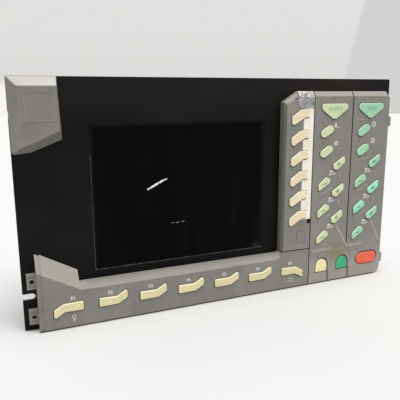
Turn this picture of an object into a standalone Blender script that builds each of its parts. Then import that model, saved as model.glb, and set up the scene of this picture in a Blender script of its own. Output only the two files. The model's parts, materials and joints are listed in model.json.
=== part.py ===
"""Operator panel of a machine tool, as an assembly of separate pieces.

Metres, +Z up, the front faces -Y. The origin lies under the middle of the bounding box.
Every piece hangs on one datum empty at the lower left corner of the plate's front face.
In its frame x runs to the right, z up, and a depth d is counted out of the plate's face.
"""

import math

import bmesh
import bpy
from mathutils import Vector
from mathutils.geometry import tessellate_polygon

# Clearances and cutters
SEAT_GAP = 0.0003
KEY_CLEARANCE = 0.0004
ARCH_CLEARANCE = 0.001
OVERRUN = 0.002

# Front plate, 19 inches wide and 6 rack units high
PANEL_WIDTH = 0.4826
PANEL_HEIGHT = 0.2659
PLATE_THICKNESS = 0.003
PLATE_CORNER_CUT = 0.0015
CASE_SEAT_DEPTH = 0.0003
RACK_SLOT_HEIGHT = 0.007
RACK_SLOT_DEPTH = 0.0131
RACK_SLOT_Z = 0.0377
RACK_SLOT_SPACING = 0.1905
CABLE_SLOT_WIDTH = 0.0034
CABLE_SLOT_HEIGHT = 0.038

# Display window
WINDOW_LEFT = 0.078
WINDOW_BOTTOM = 0.0575
WINDOW_TOP_MARGIN = 0.0484
WINDOW_RIGHT_MARGIN = 0.0220
WINDOW_CORNER = 0.0015

# Raised covers on the front
COVER_HEIGHT = 0.012
COVER_WALL = 0.0024
EDGE_WALL_HEIGHT = 0.0078
LOW_EDGE_HEIGHT = 0.001
LOWER_ROUND = 0.001
SEAM_GAP = 0.0003
TOP_MARGIN = 0.0156
TOP_CHAMFER = 0.006
SIDE_ROUND = 0.002

# Corner cap, upper left
CAP_WIDTH = 0.0506
CAP_HEIGHT = 0.077
CAP_SIDE_CHAMFER = 0.0086
CAP_TOP_CHAMFER = 0.0096

# Function key bezel along the bottom
FUNCTION_BEZEL_LEFT = 0.0143
FUNCTION_BEZEL_TOP = 0.0483
FUNCTION_FACE_TOP = 0.0413
WEDGE_TIP_HEIGHT = 0.0859
WEDGE_END_HEIGHT = 0.0612
WEDGE_FACE_TIP = 0.0664
WEDGE_WIDTH = 0.0437
SOFTKEY_BEZEL_BOTTOM = 0.0505
END_STEP_WIDTH = 0.0048
END_STEP_DROP = 0.0008
TAB_WIDTH = 0.0095
TAB_HEIGHT = 0.017
TAB_THICKNESS = 0.004
TAB_HOLE_RADIUS = 0.0024
TAB_CENTRES = (0.016, 0.0553)

# Softkey bezel, upright beside the window
SOFTKEY_BEZEL_WIDTH = 0.04165
SHOULDER_WIDTH = 0.0212
SHOULDER_HEIGHT = 0.0127
SHOULDER_CHAMFER = 0.005
STRIP_WIDTH = 0.0147
STRIP_ABOVE_KEY = 0.0112
STRIP_BELOW_KEY = 0.0025
STRIP_THICKNESS = 0.0005
STRIP_SPINE_WIDTH = 0.0069
STRIP_RIGHT_MARGIN = 0.0005
NOTCH_WIDTH = 0.0048
NOTCH_HEIGHT = 0.0055

# Machine key cover, two columns in one moulding
KEY_COVER_WIDTH = 0.12285
KEY_COVER_RIGHT_MARGIN = 0.0054
KEY_COVER_SIDE_CHAMFER = 0.0035
KEY_COVER_CORNER_CUT = 0.008
KEY_COVER_LOWER_RADIUS = 0.0135
COLUMN_SIDE_ALLOWANCE = 0.00315
COLUMN_GROOVE_WIDTH = 0.0014
COLUMN_GROOVE_DEPTH = 0.0015
COLUMN_GROOVE_END = 0.05
ARCH_GROOVE_WIDTH = 0.001
LUG_REACH = 0.0046
LUG_HEIGHT = 0.013
LUG_THICKNESS = 0.0075
LUG_CENTRES = (0.0205, 0.2107)

# Keys
KEY_PROUD = 0.002
KEY_TRAVEL = 0.0015
KEY_EDGE = 0.0007
KEY_FLANGE_LIP = 0.0013
KEY_FLANGE_THICKNESS = 0.0012
PLUNGER_RADIUS = 0.0022
SOFTKEY_WIDTH = 0.0245
SOFTKEY_HEIGHT = 0.0186
SOFTKEY_PITCH = 0.0254
SOFTKEY_LOW_MARGIN = 0.036
SOFTKEY_X = 0.02125
SOFTKEY_TOP = 0.0308
FUNCTION_KEY_WIDTH = 0.0318
FUNCTION_KEY_RISE = 0.0049
FUNCTION_KEY_DROP = 0.0102
FUNCTION_KEY_Z = 0.02395
FUNCTION_KEY_COUNT = 7
FUNCTION_KEY_LEFT = 0.0330
FUNCTION_KEY_RIGHT = 0.0265
FIRST_FUNCTION_KEY_SHIFT = -0.0022
LAST_FUNCTION_KEY_SHIFT = 0.0009
SHIELD_KEY_WIDTH = 0.0394
SHIELD_KEY_HEIGHT = 0.0188
SHIELD_KEY_TOP = 0.0245
OVAL_KEY_LENGTH = 0.0203
OVAL_KEY_WIDTH = 0.0101
OVAL_KEY_TILT = math.radians(31)
OVAL_KEY_PITCH = 0.0254
OVAL_KEY_TOP = 0.0494
OVAL_KEY_X = -0.0104
LEAF_KEY_WIDTH = 0.0176
LEAF_KEY_HEIGHT = 0.0168
LEAF_KEY_PITCH = 0.0353
LEAF_KEY_LOW_MARGIN = 0.025
PLUS_KEY_X = 0.0101
PLUS_KEY_TOP = 0.0907
MINUS_KEY_X = -0.0118
MINUS_KEY_TOP = 0.1163
FIRST_COLUMN_X = 0.03045
ARCH_KEY_WIDTH = 0.0179
ARCH_KEY_HEIGHT = 0.0174
ARCH_KEY_Z = 0.0245
STOP_KEY_LENGTH = 0.0347
STOP_KEY_WIDTH = 0.0158
STOP_KEY_Z = 0.0256
ARCH_KEY_PROUD = 0.0004
STOP_KEY_PROUD = 0.001

# Key boards and rubber mats
BOARD_STUD_HEIGHT = 0.002
BOARD_THICKNESS = 0.0016
BOARD_MARGIN = 0.0035
BOARD_WIDTH_ON_SOFTKEYS = 0.030
BOARD_HEIGHT_ON_FUNCTION_KEYS = 0.031
BOARD_BOTTOM = 0.008
BOARD_SLOT_CLEARANCE = 0.0006
MAT_THICKNESS = 0.0008
MAT_PAD_HEIGHT = 0.0006
MAT_PAD_RADIUS = 0.0038
MAT_INSET = 0.001
STUD_RADIUS = 0.0015
STUD_INSET = 0.006

# Display module, bracket and backlight inverter
BRACKET_SHEET = 0.0012
BRACKET_SIDE_MARGIN = 0.028
BRACKET_TOP_MARGIN = 0.022
BRACKET_BOTTOM = 0.016
BRACKET_LIP = 0.003
CHEEK_DEPTH = 0.010
MODULE_SIDE_MARGIN = 0.0155
MODULE_END_MARGIN = 0.012
MODULE_THICKNESS = 0.011
MODULE_FRAME_DEPTH = 0.0008
WELD_STUD_LENGTH = 0.008
WELD_STUD_INSET = 0.006
INVERTER_WIDTH = 0.120
INVERTER_HEIGHT = 0.020
INVERTER_COIL_WIDTH = 0.030
INVERTER_COIL_DEPTH = 0.009
INVERTER_STUD_LENGTH = 0.003

# Rear chassis, cover and electronics
CHASSIS_SIDE_MARGIN = 0.0213
CHASSIS_TOP_MARGIN = 0.0039
CHASSIS_DEPTH = 0.070
CHASSIS_SHEET = 0.0012
CHASSIS_FLANGE = 0.010
VENT_WIDTH = 0.003
VENT_LENGTH = 0.034
VENT_PITCH = 0.012
VENT_COUNT = 12
COVER_VENT_TOP = 0.030
MAIN_BOARD_WIDTH = 0.242
MAIN_BOARD_HEIGHT = 0.150
MAIN_BOARD_EDGE = 0.0065
MAIN_BOARD_BOTTOM = 0.055
MAIN_BOARD_STUD = 0.008
HEADER_DEPTH = 0.008
HEADER_WIDTH = 0.006
RIBBON_WIDTH = 0.034
RIBBON_THICKNESS = 0.001
RIBBON_SLACK = 0.005
RIBBON_STEPS = 8
RIBBON_BOTTOM = 0.061
DISPLAY_RIBBON_INSET = 0.0189
MACHINE_RIBBON_INSET = 0.0111
SUPPLY_WIDTH = 0.062
SUPPLY_HEIGHT = 0.036
SUPPLY_LENGTH = 0.050
SUPPLY_SIDE_MARGIN = 0.0133
SUPPLY_EAR = 0.006
SUPPLY_EAR_THICKNESS = 0.002

# Rear connectors and fasteners
CONNECTOR_FLANGE_THICKNESS = 0.001
CONNECTOR_FLANGE_HEIGHT = 0.0125
CONNECTOR_SHELL_HEIGHT = 0.0084
CONNECTOR_SHELL_REACH = 0.0059
CONNECTOR_SHELL_DRAFT = 0.0014
CONNECTOR_BODY_DEPTH = 0.008
CONNECTOR_Z = 0.026
JACK_RADIUS = 0.0026
JACK_REACH = 0.005
IO_SHELL_WIDTH = 0.0389
IO_FLANGE_WIDTH = 0.053
IO_CONNECTOR_INSET = 0.020
SERIAL_SHELL_WIDTH = 0.0169
SERIAL_FLANGE_WIDTH = 0.0308
SERIAL_CONNECTOR_INSET = 0.095
JACK_EDGE_MARGIN = 0.0029
POWER_WIDTH = 0.020
POWER_HEIGHT = 0.012
POWER_REACH = 0.010
POWER_COLLAR = 0.002
POWER_SHIFT = 0.082
POWER_POLES = 3
POWER_POLE_PITCH = 0.00508
POWER_HOLE = 0.0026
POWER_HOLE_DEPTH = 0.006
EARTH_SHIFT = 0.040
EARTH_RADIUS = 0.0025
EARTH_NUT_RADIUS = 0.0046
EARTH_NUT_HEIGHT = 0.004
EARTH_REACH = 0.012
EARTH_INSIDE = 0.005
SCREW_RADIUS = 0.0015
SCREW_HEAD_RADIUS = 0.0028
SCREW_HEAD_HEIGHT = 0.0018
SCREW_LENGTH = 0.006

# Smoothness of round outlines, counts of segments
SMALL_ROUND = 8
END_ROUND = 5
SLOT_ROUND = 6
CORNER_ROUND = 3
ROUND_LIMIT = math.radians(50)

# Places of the three lower keys, as shares of the cover's width
lower_key_shares = (0.1624, 0.4335, 0.772)

# Outlines as shares of a piece's own width and height, counter-clockwise from the front
softkey_shares = ((0, 0.52), (0.012, 0.08), (0.139, 0), (0.747, 0.47), (0.97, 0.495),
                  (1, 0.53), (1, 0.95), (0.96, 1), (0.547, 1))
function_key_shares = ((0.006, 0.589), (0, 0.093), (0.05, 0), (0.374, 0.39), (0.98, 0.377),
                       (1, 0.41), (1, 0.95), (0.975, 1), (0.327, 0.98))
leaf_key_shares = ((0, 0.286), (0.08, 0.08), (0.257, 0), (0.40, 0.035), (0.95, 0.50),
                   (1, 0.60), (0.97, 1), (0.88, 0.99), (0.02, 0.45))
shield_key_shares = ((0, 0.86), (0, 0.70), (0.04, 0.60), (0.44, 0.02), (0.5, 0), (0.56, 0.02),
                     (0.96, 0.60), (1, 0.70), (1, 0.86), (0.94, 1), (0.06, 1))
cap_edge_shares = ((0.010, 0.020), (0.057, 0), (0.383, 0.023), (1, 0.178), (0.953, 1), (0, 1))
cap_face_x_shares = (0.0, 0.0, 0.411, 0.922, 0.903, 0.0)
cap_face_z_shares = (0.100, 0.085, 0.174, 0.303, 0.875, 0.875)
# Rises of a cover's chamfer, as shares of what lies between its upright edge and its face
chamfer_depth_shares = (0, 0.6, 1)
straight_chamfer_shares = (0, 0, 0.6, 1)
rounded_chamfer_shares = (0, 0, 0.30, 1)
# Parts on the main board: left, bottom, width and height, as shares of the board's own
chip_shares = ((0.12, 0.58, 0.17, 0.26), (0.40, 0.62, 0.10, 0.20), (0.54, 0.62, 0.10, 0.20),
               (0.12, 0.20, 0.22, 0.14), (0.44, 0.22, 0.08, 0.30), (0.60, 0.26, 0.12, 0.10))
CHIP_DEPTH = 0.004

# Derived depths, counted out of the plate's face
KEY_COVER_LEFT = PANEL_WIDTH - KEY_COVER_RIGHT_MARGIN - KEY_COVER_WIDTH
COLUMN_PITCH = (KEY_COVER_WIDTH - KEY_COVER_SIDE_CHAMFER - COLUMN_SIDE_ALLOWANCE) / 2
COVER_TOP = PANEL_HEIGHT - TOP_MARGIN
BEZEL_RIGHT = KEY_COVER_LEFT - SEAM_GAP
SOFTKEY_BEZEL_LEFT = BEZEL_RIGHT - SOFTKEY_BEZEL_WIDTH
WINDOW_WIDTH = SOFTKEY_BEZEL_LEFT - WINDOW_RIGHT_MARGIN - WINDOW_LEFT
WINDOW_HEIGHT = PANEL_HEIGHT - WINDOW_TOP_MARGIN - WINDOW_BOTTOM
FACE_INSIDE = COVER_HEIGHT - COVER_WALL
BOARD_BACK = BOARD_STUD_HEIGHT + SEAT_GAP
BOARD_FRONT = BOARD_BACK + BOARD_THICKNESS
MAT_BACK = BOARD_FRONT + SEAT_GAP
MAT_FRONT = MAT_BACK + MAT_THICKNESS
PAD_FRONT = MAT_FRONT + MAT_PAD_HEIGHT
FLANGE_FRONT = FACE_INSIDE - SEAT_GAP
FLANGE_BACK = FLANGE_FRONT - KEY_FLANGE_THICKNESS
PLUNGER_END = PAD_FRONT + KEY_TRAVEL + SEAT_GAP
KEY_FRONT = COVER_HEIGHT + KEY_PROUD
PLATE_BACK = -PLATE_THICKNESS
CHASSIS_FRONT = PLATE_BACK + CASE_SEAT_DEPTH - SEAT_GAP
CHASSIS_BACK = CHASSIS_FRONT - CHASSIS_DEPTH
CHASSIS_LEFT = CHASSIS_SIDE_MARGIN
CHASSIS_WIDTH = PANEL_WIDTH - CHASSIS_SIDE_MARGIN * 2
CHASSIS_HEIGHT = PANEL_HEIGHT - CHASSIS_TOP_MARGIN
DISPLAY_RIBBON_X = SOFTKEY_BEZEL_LEFT + DISPLAY_RIBBON_INSET
MACHINE_RIBBON_X = KEY_COVER_LEFT + MACHINE_RIBBON_INSET
MAIN_BOARD_LEFT = MACHINE_RIBBON_X + MAIN_BOARD_EDGE - MAIN_BOARD_WIDTH
SUPPLY_LEFT = CHASSIS_LEFT + CHASSIS_WIDTH - SUPPLY_SIDE_MARGIN - SUPPLY_WIDTH
IO_CONNECTOR_X = MAIN_BOARD_LEFT + IO_CONNECTOR_INSET
SERIAL_CONNECTOR_X = MAIN_BOARD_LEFT + SERIAL_CONNECTOR_INSET
POWER_X = SUPPLY_LEFT - POWER_SHIFT
EARTH_X = SUPPLY_LEFT - EARTH_SHIFT
REAR_COVER_FRONT = CHASSIS_BACK - SEAT_GAP
REAR_COVER_BACK = REAR_COVER_FRONT - CHASSIS_SHEET
CONNECTOR_SEAT = REAR_COVER_BACK - SEAT_GAP
REAR_REACH = -CONNECTOR_SEAT + max(EARTH_REACH, POWER_REACH + POWER_COLLAR,
                                   CONNECTOR_FLANGE_THICKNESS + CONNECTOR_SHELL_REACH)
PLATE_FACE_Y = (KEY_FRONT - REAR_REACH) / 2
BRACKET_FRONT = CHASSIS_FRONT
BRACKET_BACK = BRACKET_FRONT - BRACKET_SHEET
MODULE_FRONT = BRACKET_BACK - SEAT_GAP
MODULE_BACK = MODULE_FRONT - MODULE_THICKNESS
MAIN_BOARD_BACK = REAR_COVER_FRONT + MAIN_BOARD_STUD + SEAT_GAP
MAIN_BOARD_FRONT = MAIN_BOARD_BACK + BOARD_THICKNESS
HEADER_FRONT = MAIN_BOARD_FRONT + HEADER_DEPTH


# Outlines in the panel's x and z

def placed(shares, width, height, left=0, bottom=0):
    return [(left + x * width, bottom + z * height) for x, z in shares]


def centred(shares, width, height):
    return placed(shares, width, height, -width / 2, -height / 2)


def mirrored(outline):
    return [(-x, z) for x, z in reversed(outline)]


def turned_half(outline):
    return [(-x, -z) for x, z in outline]


def moved(outline, dx, dz):
    return [(x + dx, z + dz) for x, z in outline]


def rectangle(left, right, bottom, top):
    return [(left, bottom), (right, bottom), (right, top), (left, top)]


def arc(radius, start, end, steps, x=0, z=0):
    angles = [start + (end - start) * i / steps for i in range(steps + 1)]
    return [(x + radius * math.cos(a), z + radius * math.sin(a)) for a in angles]


def circle(radius, x=0, z=0, steps=SMALL_ROUND):
    return arc(radius, 0, math.tau * (steps - 1) / steps, steps - 1, x, z)


def stadium(length, width, tilt=0):
    half = (length - width) / 2
    dx, dz = half * math.cos(tilt), half * math.sin(tilt)
    quarter = math.pi / 2
    right = arc(width / 2, tilt - quarter, tilt + quarter, END_ROUND, dx, dz)
    left = arc(width / 2, tilt + quarter, tilt + 3 * quarter, END_ROUND, -dx, -dz)
    return right + left


def arch(width, height):
    radius = width / 2
    top = arc(radius, 0, math.pi, 2 * END_ROUND - 2, 0, height / 2 - radius)
    return [(-radius, -height / 2), (radius, -height / 2)] + top


def cut_corners(left, right, bottom, top, cut):
    return [(left + cut, bottom), (right - cut, bottom), (right, bottom + cut), (right, top - cut),
            (right - cut, top), (left + cut, top), (left, top - cut), (left, bottom + cut)]


def grown(outline, distance):
    """The outline with every side moved out by a distance, corners mitred."""
    count = len(outline)
    area = sum(outline[i - 1][0] * outline[i][1] - outline[i][0] * outline[i - 1][1]
               for i in range(count))
    out = distance if area > 0 else -distance
    result = []
    for i in range(count):
        before = Vector(outline[i]) - Vector(outline[i - 1])
        after = Vector(outline[(i + 1) % count]) - Vector(outline[i])
        normal_before = Vector((before.y, -before.x)).normalized()
        normal_after = Vector((after.y, -after.x)).normalized()
        bisector = (normal_before + normal_after).normalized()
        shift = bisector * (out / max(bisector.dot(normal_before), 0.5))
        result.append((outline[i][0] + shift.x, outline[i][1] + shift.y))
    return result


# Solids and modifiers

def add_steps(bm, steps):
    """One closed body from outlines at successive depths, with flat shoulders between sizes."""
    loops = [[bm.verts.new((x, -depth, z)) for x, z in outline] for outline, depth in steps]
    bm.faces.new(loops[0])
    bm.faces.new(loops[-1])
    for index in range(len(steps) - 1):
        first, second = loops[index], loops[index + 1]
        if steps[index][1] == steps[index + 1][1]:
            verts = first + second
            rings = [[v.co for v in first], [v.co for v in second]]
            for triangle in tessellate_polygon(rings):
                bm.faces.new([verts[i] for i in triangle])
        else:
            for i in range(len(first)):
                j = (i + 1) % len(first)
                bm.faces.new((first[i], first[j], second[j], second[i]))


def add_upright(bm, outline, bottom, top):
    """One closed prism that stands on an outline of x and depth."""
    lower = [bm.verts.new((x, -depth, bottom)) for x, depth in outline]
    upper = [bm.verts.new((x, -depth, top)) for x, depth in outline]
    bm.faces.new(lower)
    bm.faces.new(upper)
    for i in range(len(outline)):
        j = (i + 1) % len(outline)
        bm.faces.new((lower[i], lower[j], upper[j], upper[i]))


def mesh_from(name, bm, round_sides=False):
    bmesh.ops.recalc_face_normals(bm, faces=bm.faces)
    mesh = bpy.data.meshes.new(name)
    bm.to_mesh(mesh)
    bm.free()
    if round_sides:
        mesh.shade_smooth()
        mesh.set_sharp_from_angle(angle=ROUND_LIMIT)
    return mesh


def steps_mesh(name, bodies, round_sides=False):
    bm = bmesh.new()
    for steps in bodies:
        add_steps(bm, steps)
    return mesh_from(name, bm, round_sides)


def material(name, color, roughness, metallic=0.0):
    made = bpy.data.materials.get(name) or bpy.data.materials.new(name)
    made.use_nodes = True
    shader = made.node_tree.nodes["Principled BSDF"]
    shader.inputs["Base Color"].default_value = (*color, 1.0)
    shader.inputs["Roughness"].default_value = roughness
    shader.inputs["Metallic"].default_value = metallic
    return made


def link(name, mesh, finish=None, x=0, z=0):
    obj = bpy.data.objects.new(name, mesh)
    bpy.context.collection.objects.link(obj)
    obj.parent = datum
    obj.location = (x, 0, z)
    if finish:
        mesh.materials.clear()
        mesh.materials.append(finish)
    return obj


def piece(name, bodies, finish, round_sides=False):
    return link(name, steps_mesh(name, bodies, round_sides), finish)


def block(left, right, back, front, bottom, top):
    return [(rectangle(left, right, bottom, top), back), (rectangle(left, right, bottom, top), front)]


def through(outline, back, front):
    return [(outline, back), (outline, front)]


def combine(target, bodies, operation, name):
    helper = link(f"{target.name}_{name}", steps_mesh(name, bodies))
    helper.hide_render = True
    helper.display_type = "WIRE"
    modifier = target.modifiers.new(name, "BOOLEAN")
    modifier.operation = operation
    modifier.object = helper
    modifier.solver = "EXACT"


def cut(target, bodies, name):
    combine(target, bodies, "DIFFERENCE", name)


def join(target, bodies, name):
    combine(target, bodies, "UNION", name)


def cover_rings(edge, face, lower_points, edge_height):
    """Rings of a raised cover: upright edge, chamfer to the face, rounded along the bottom."""
    rise = COVER_HEIGHT - edge_height
    depths = [SEAT_GAP] + [edge_height + rise * share for share in chamfer_depth_shares]
    rings = []
    for depth, straight, rounded in zip(depths, straight_chamfer_shares, rounded_chamfer_shares):
        ring = []
        for i, (start, end) in enumerate(zip(edge, face)):
            share = rounded if i in lower_points else straight
            x = start[0] + (end[0] - start[0]) * straight
            ring.append((x, start[1] + (end[1] - start[1]) * share))
        rings.append((ring, depth))
    return rings


def cavity_rings(edge, face):
    """The hollow behind a cover, one wall inside its edge and its face."""
    low = grown(edge, -COVER_WALL)
    high = grown(face, -COVER_WALL)
    return [(low, -OVERRUN), (low, LOW_EDGE_HEIGHT), (high, FACE_INSIDE)]


# Places of the keys

def softkey_places():
    x, top = SOFTKEY_BEZEL_LEFT + SOFTKEY_X, COVER_TOP - SOFTKEY_TOP
    count = 1 + int((top - SOFTKEY_BEZEL_BOTTOM - SOFTKEY_LOW_MARGIN) / SOFTKEY_PITCH)
    return [(x, top - i * SOFTKEY_PITCH) for i in range(count)]


def function_key_places():
    first, last = FUNCTION_BEZEL_LEFT + FUNCTION_KEY_LEFT, BEZEL_RIGHT - FUNCTION_KEY_RIGHT
    pitch = (last - first) / (FUNCTION_KEY_COUNT - 1)
    places = [first + i * pitch for i in range(FUNCTION_KEY_COUNT)]
    places[0] += FIRST_FUNCTION_KEY_SHIFT
    places[-1] += LAST_FUNCTION_KEY_SHIFT
    return [(x, FUNCTION_KEY_Z) for x in places]


def column_x(column):
    return KEY_COVER_LEFT + FIRST_COLUMN_X + column * COLUMN_PITCH


def leaf_pair_count():
    room = COVER_TOP - MINUS_KEY_TOP - ARCH_KEY_Z - LEAF_KEY_LOW_MARGIN
    return 1 + int(room / LEAF_KEY_PITCH)


def lower_key_places():
    return [KEY_COVER_LEFT + KEY_COVER_WIDTH * share for share in lower_key_shares]


def function_outline():
    height = FUNCTION_KEY_RISE + FUNCTION_KEY_DROP
    return placed(function_key_shares, FUNCTION_KEY_WIDTH, height,
                  -FUNCTION_KEY_WIDTH / 2, -FUNCTION_KEY_DROP)


def display_keys():
    """Name, outline, place and height above the cover of each key around the display."""
    soft = centred(softkey_shares, SOFTKEY_WIDTH, SOFTKEY_HEIGHT)
    keys = [(f"softkey_{i + 1}", soft, place, KEY_PROUD) for i, place in enumerate(softkey_places())]
    places = function_key_places()
    tail_left = function_outline()
    outlines = [tail_left] + [turned_half(tail_left)] * (len(places) - 2) + [mirrored(tail_left)]
    for i, (outline, place) in enumerate(zip(outlines, places)):
        keys.append((f"function_key_{i + 1}", outline, place, KEY_PROUD))
    return keys


def machine_keys():
    """Name, outline, place and height above the cover of each key on the machine cover."""
    shield = centred(shield_key_shares, SHIELD_KEY_WIDTH, SHIELD_KEY_HEIGHT)
    oval = stadium(OVAL_KEY_LENGTH, OVAL_KEY_WIDTH, OVAL_KEY_TILT)
    leaf = centred(leaf_key_shares, LEAF_KEY_WIDTH, LEAF_KEY_HEIGHT)
    keys = []
    for column, name in enumerate(("manual", "auto")):
        x = column_x(column)
        keys.append((f"{name}_mode_key", shield, (x, COVER_TOP - SHIELD_KEY_TOP), KEY_PROUD))
        for i in range(2):
            z = COVER_TOP - OVAL_KEY_TOP - i * OVAL_KEY_PITCH
            keys.append((f"{name}_select_key_{i + 1}", oval, (x + OVAL_KEY_X, z), KEY_PROUD))
        for i in range(leaf_pair_count()):
            drop = i * LEAF_KEY_PITCH
            plus = (x + PLUS_KEY_X, COVER_TOP - PLUS_KEY_TOP - drop)
            minus = (x + MINUS_KEY_X, COVER_TOP - MINUS_KEY_TOP - drop)
            keys.append((f"{name}_plus_key_{i + 1}", leaf, plus, KEY_PROUD))
            keys.append((f"{name}_minus_key_{i + 1}", turned_half(leaf), minus, KEY_PROUD))
    arch_outline = arch(ARCH_KEY_WIDTH, ARCH_KEY_HEIGHT)
    stop_outline = stadium(STOP_KEY_LENGTH, STOP_KEY_WIDTH)
    cycle_x, start_x, stop_x = lower_key_places()
    cycle, start, stop = (cycle_x, ARCH_KEY_Z), (start_x, ARCH_KEY_Z), (stop_x, STOP_KEY_Z)
    keys.append(("cycle_key", arch_outline, cycle, ARCH_KEY_PROUD))
    keys.append(("start_key", arch_outline, start, ARCH_KEY_PROUD))
    keys.append(("stop_key", stop_outline, stop, STOP_KEY_PROUD))
    return keys


def clearance(proud):
    """Low keys sit in wider openings."""
    return KEY_CLEARANCE if proud >= KEY_PROUD else ARCH_CLEARANCE


def apertures(keys):
    """Openings through a cover's face, a clearance larger than each key."""
    return [through(moved(grown(outline, clearance(proud)), *place), FACE_INSIDE - OVERRUN,
                    COVER_HEIGHT + OVERRUN) for name, outline, place, proud in keys]


def pads(keys):
    return [through(circle(MAT_PAD_RADIUS, *place), MAT_FRONT - MAT_THICKNESS / 2, PAD_FRONT)
            for name, outline, place, proud in keys]


# Colours of the finishes, linear

def make_finishes():
    return {
        "plate": material("plate_black", (0.010, 0.010, 0.011), 0.38),
        "window": material("window_black", (0.003, 0.003, 0.004), 0.08),
        "cover": material("cover_grey", (0.21, 0.20, 0.185), 0.55),
        "label": material("label_white", (0.88, 0.85, 0.75), 0.6),
        "cream": material("key_cream", (0.84, 0.72, 0.50), 0.45),
        "straw": material("key_straw", (0.74, 0.66, 0.38), 0.45),
        "pale_green": material("key_pale_green", (0.56, 0.72, 0.38), 0.45),
        "mint": material("key_mint", (0.24, 0.62, 0.36), 0.45),
        "green": material("key_green", (0.06, 0.46, 0.20), 0.4),
        "red": material("key_red", (0.78, 0.12, 0.06), 0.4),
        "board": material("board_green", (0.02, 0.14, 0.06), 0.5),
        "rubber": material("rubber_grey", (0.12, 0.12, 0.12), 0.8),
        "zinc": material("zinc_sheet", (0.62, 0.62, 0.60), 0.4, 1.0),
        "steel": material("steel_bright", (0.55, 0.55, 0.56), 0.3, 1.0),
        "glass": material("display_glass", (0.02, 0.02, 0.025), 0.1),
        "ribbon": material("ribbon_grey", (0.45, 0.45, 0.47), 0.5),
        "terminal": material("terminal_green", (0.03, 0.25, 0.08), 0.5),
        "inverter": material("board_blue", (0.02, 0.06, 0.20), 0.5),
    }


# The plate and what it shows

def rack_slots():
    radius = RACK_SLOT_HEIGHT / 2
    quarter = math.pi / 2
    slots = []
    for z in (RACK_SLOT_Z, RACK_SLOT_Z + RACK_SLOT_SPACING):
        inner = RACK_SLOT_DEPTH - radius
        left = arc(radius, -quarter, quarter, SLOT_ROUND, inner, z)
        left += [(-OVERRUN, z + radius), (-OVERRUN, z - radius)]
        right = [(PANEL_WIDTH - x, height) for x, height in reversed(left)]
        slots += [left, right]
    return slots


def cable_slots():
    bottom = RIBBON_BOTTOM - (CABLE_SLOT_HEIGHT - RIBBON_WIDTH) / 2
    half = CABLE_SLOT_WIDTH / 2
    return [rectangle(x - half, x + half, bottom, bottom + CABLE_SLOT_HEIGHT)
            for x in (DISPLAY_RIBBON_X, MACHINE_RIBBON_X)]


def board_studs():
    """Places of the studs that carry the two key boards."""
    low = BOARD_BOTTOM + STUD_INSET
    high = softkey_board_top() - STUD_INSET
    display = [(display_board_left() + STUD_INSET, low), (BEZEL_RIGHT - BOARD_MARGIN - STUD_INSET, low),
               (softkey_board_left() + STUD_INSET, high)]
    left, right, bottom, top = machine_board_box()
    machine = [(x, z) for x in (left + STUD_INSET, right - STUD_INSET)
               for z in (bottom + STUD_INSET, top - STUD_INSET)]
    return display + machine


def bracket_box():
    return (WINDOW_LEFT - BRACKET_SIDE_MARGIN, WINDOW_LEFT + WINDOW_WIDTH + BRACKET_SIDE_MARGIN,
            BRACKET_BOTTOM, WINDOW_BOTTOM + WINDOW_HEIGHT + BRACKET_TOP_MARGIN)


def bracket_studs():
    left, right, bottom, top = bracket_box()
    return [(x, z) for x in (left + WELD_STUD_INSET, right - WELD_STUD_INSET)
            for z in (bottom + WELD_STUD_INSET, top - WELD_STUD_INSET)]


def chassis_studs():
    inset = CHASSIS_SHEET + CHASSIS_FLANGE / 2
    return [(x, z) for x in (CHASSIS_LEFT + inset, CHASSIS_LEFT + CHASSIS_WIDTH - inset)
            for z in (CHASSIS_HEIGHT * 0.2, CHASSIS_HEIGHT * 0.8)]


def window_outline(gap):
    return cut_corners(WINDOW_LEFT + gap, WINDOW_LEFT + WINDOW_WIDTH - gap, WINDOW_BOTTOM + gap,
                       WINDOW_BOTTOM + WINDOW_HEIGHT - gap, WINDOW_CORNER)


def make_front_plate(finish):
    outline = cut_corners(0, PANEL_WIDTH, 0, PANEL_HEIGHT, PLATE_CORNER_CUT)
    plate = piece("front_plate", [through(outline, PLATE_BACK, 0)], finish)
    holes = rack_slots() + cable_slots() + [window_outline(0)]
    cut(plate, [through(hole, PLATE_BACK - OVERRUN, OVERRUN) for hole in holes], "openings")
    seat = block(CHASSIS_LEFT - SEAT_GAP, CHASSIS_LEFT + CHASSIS_WIDTH + SEAT_GAP, PLATE_BACK - OVERRUN,
                 PLATE_BACK + CASE_SEAT_DEPTH, -OVERRUN, PANEL_HEIGHT + OVERRUN)
    cut(plate, [seat], "case_seat")
    middle = PLATE_BACK / 2
    studs = [through(circle(STUD_RADIUS, *place), middle, BOARD_STUD_HEIGHT) for place in board_studs()]
    studs += [through(circle(STUD_RADIUS, *place), PLATE_BACK - WELD_STUD_LENGTH, middle)
              for place in bracket_studs() + chassis_studs()]
    join(plate, studs, "studs")


def make_display_filter(finish):
    piece("display_filter", [through(window_outline(SEAT_GAP), PLATE_BACK + CASE_SEAT_DEPTH, 0)], finish)


# Corner cap

def make_corner_cap(finish):
    bottom = PANEL_HEIGHT - CAP_HEIGHT
    edge = placed(cap_edge_shares, CAP_WIDTH, CAP_HEIGHT, 0, bottom)
    face = [(CAP_SIDE_CHAMFER + (CAP_WIDTH - CAP_SIDE_CHAMFER) * x, bottom + CAP_HEIGHT * z)
            for x, z in zip(cap_face_x_shares, cap_face_z_shares)]
    top = PANEL_HEIGHT - CAP_TOP_CHAMFER
    face = [(x, top if i > 3 else z) for i, (x, z) in enumerate(face)]
    rings = [(edge, SEAT_GAP), (edge, LOW_EDGE_HEIGHT), (face, COVER_HEIGHT)]
    cap = piece("corner_cap", [rings], finish)
    cut(cap, [cavity_rings(edge[1:], face[1:])], "hollow")


# Function key bezel

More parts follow.
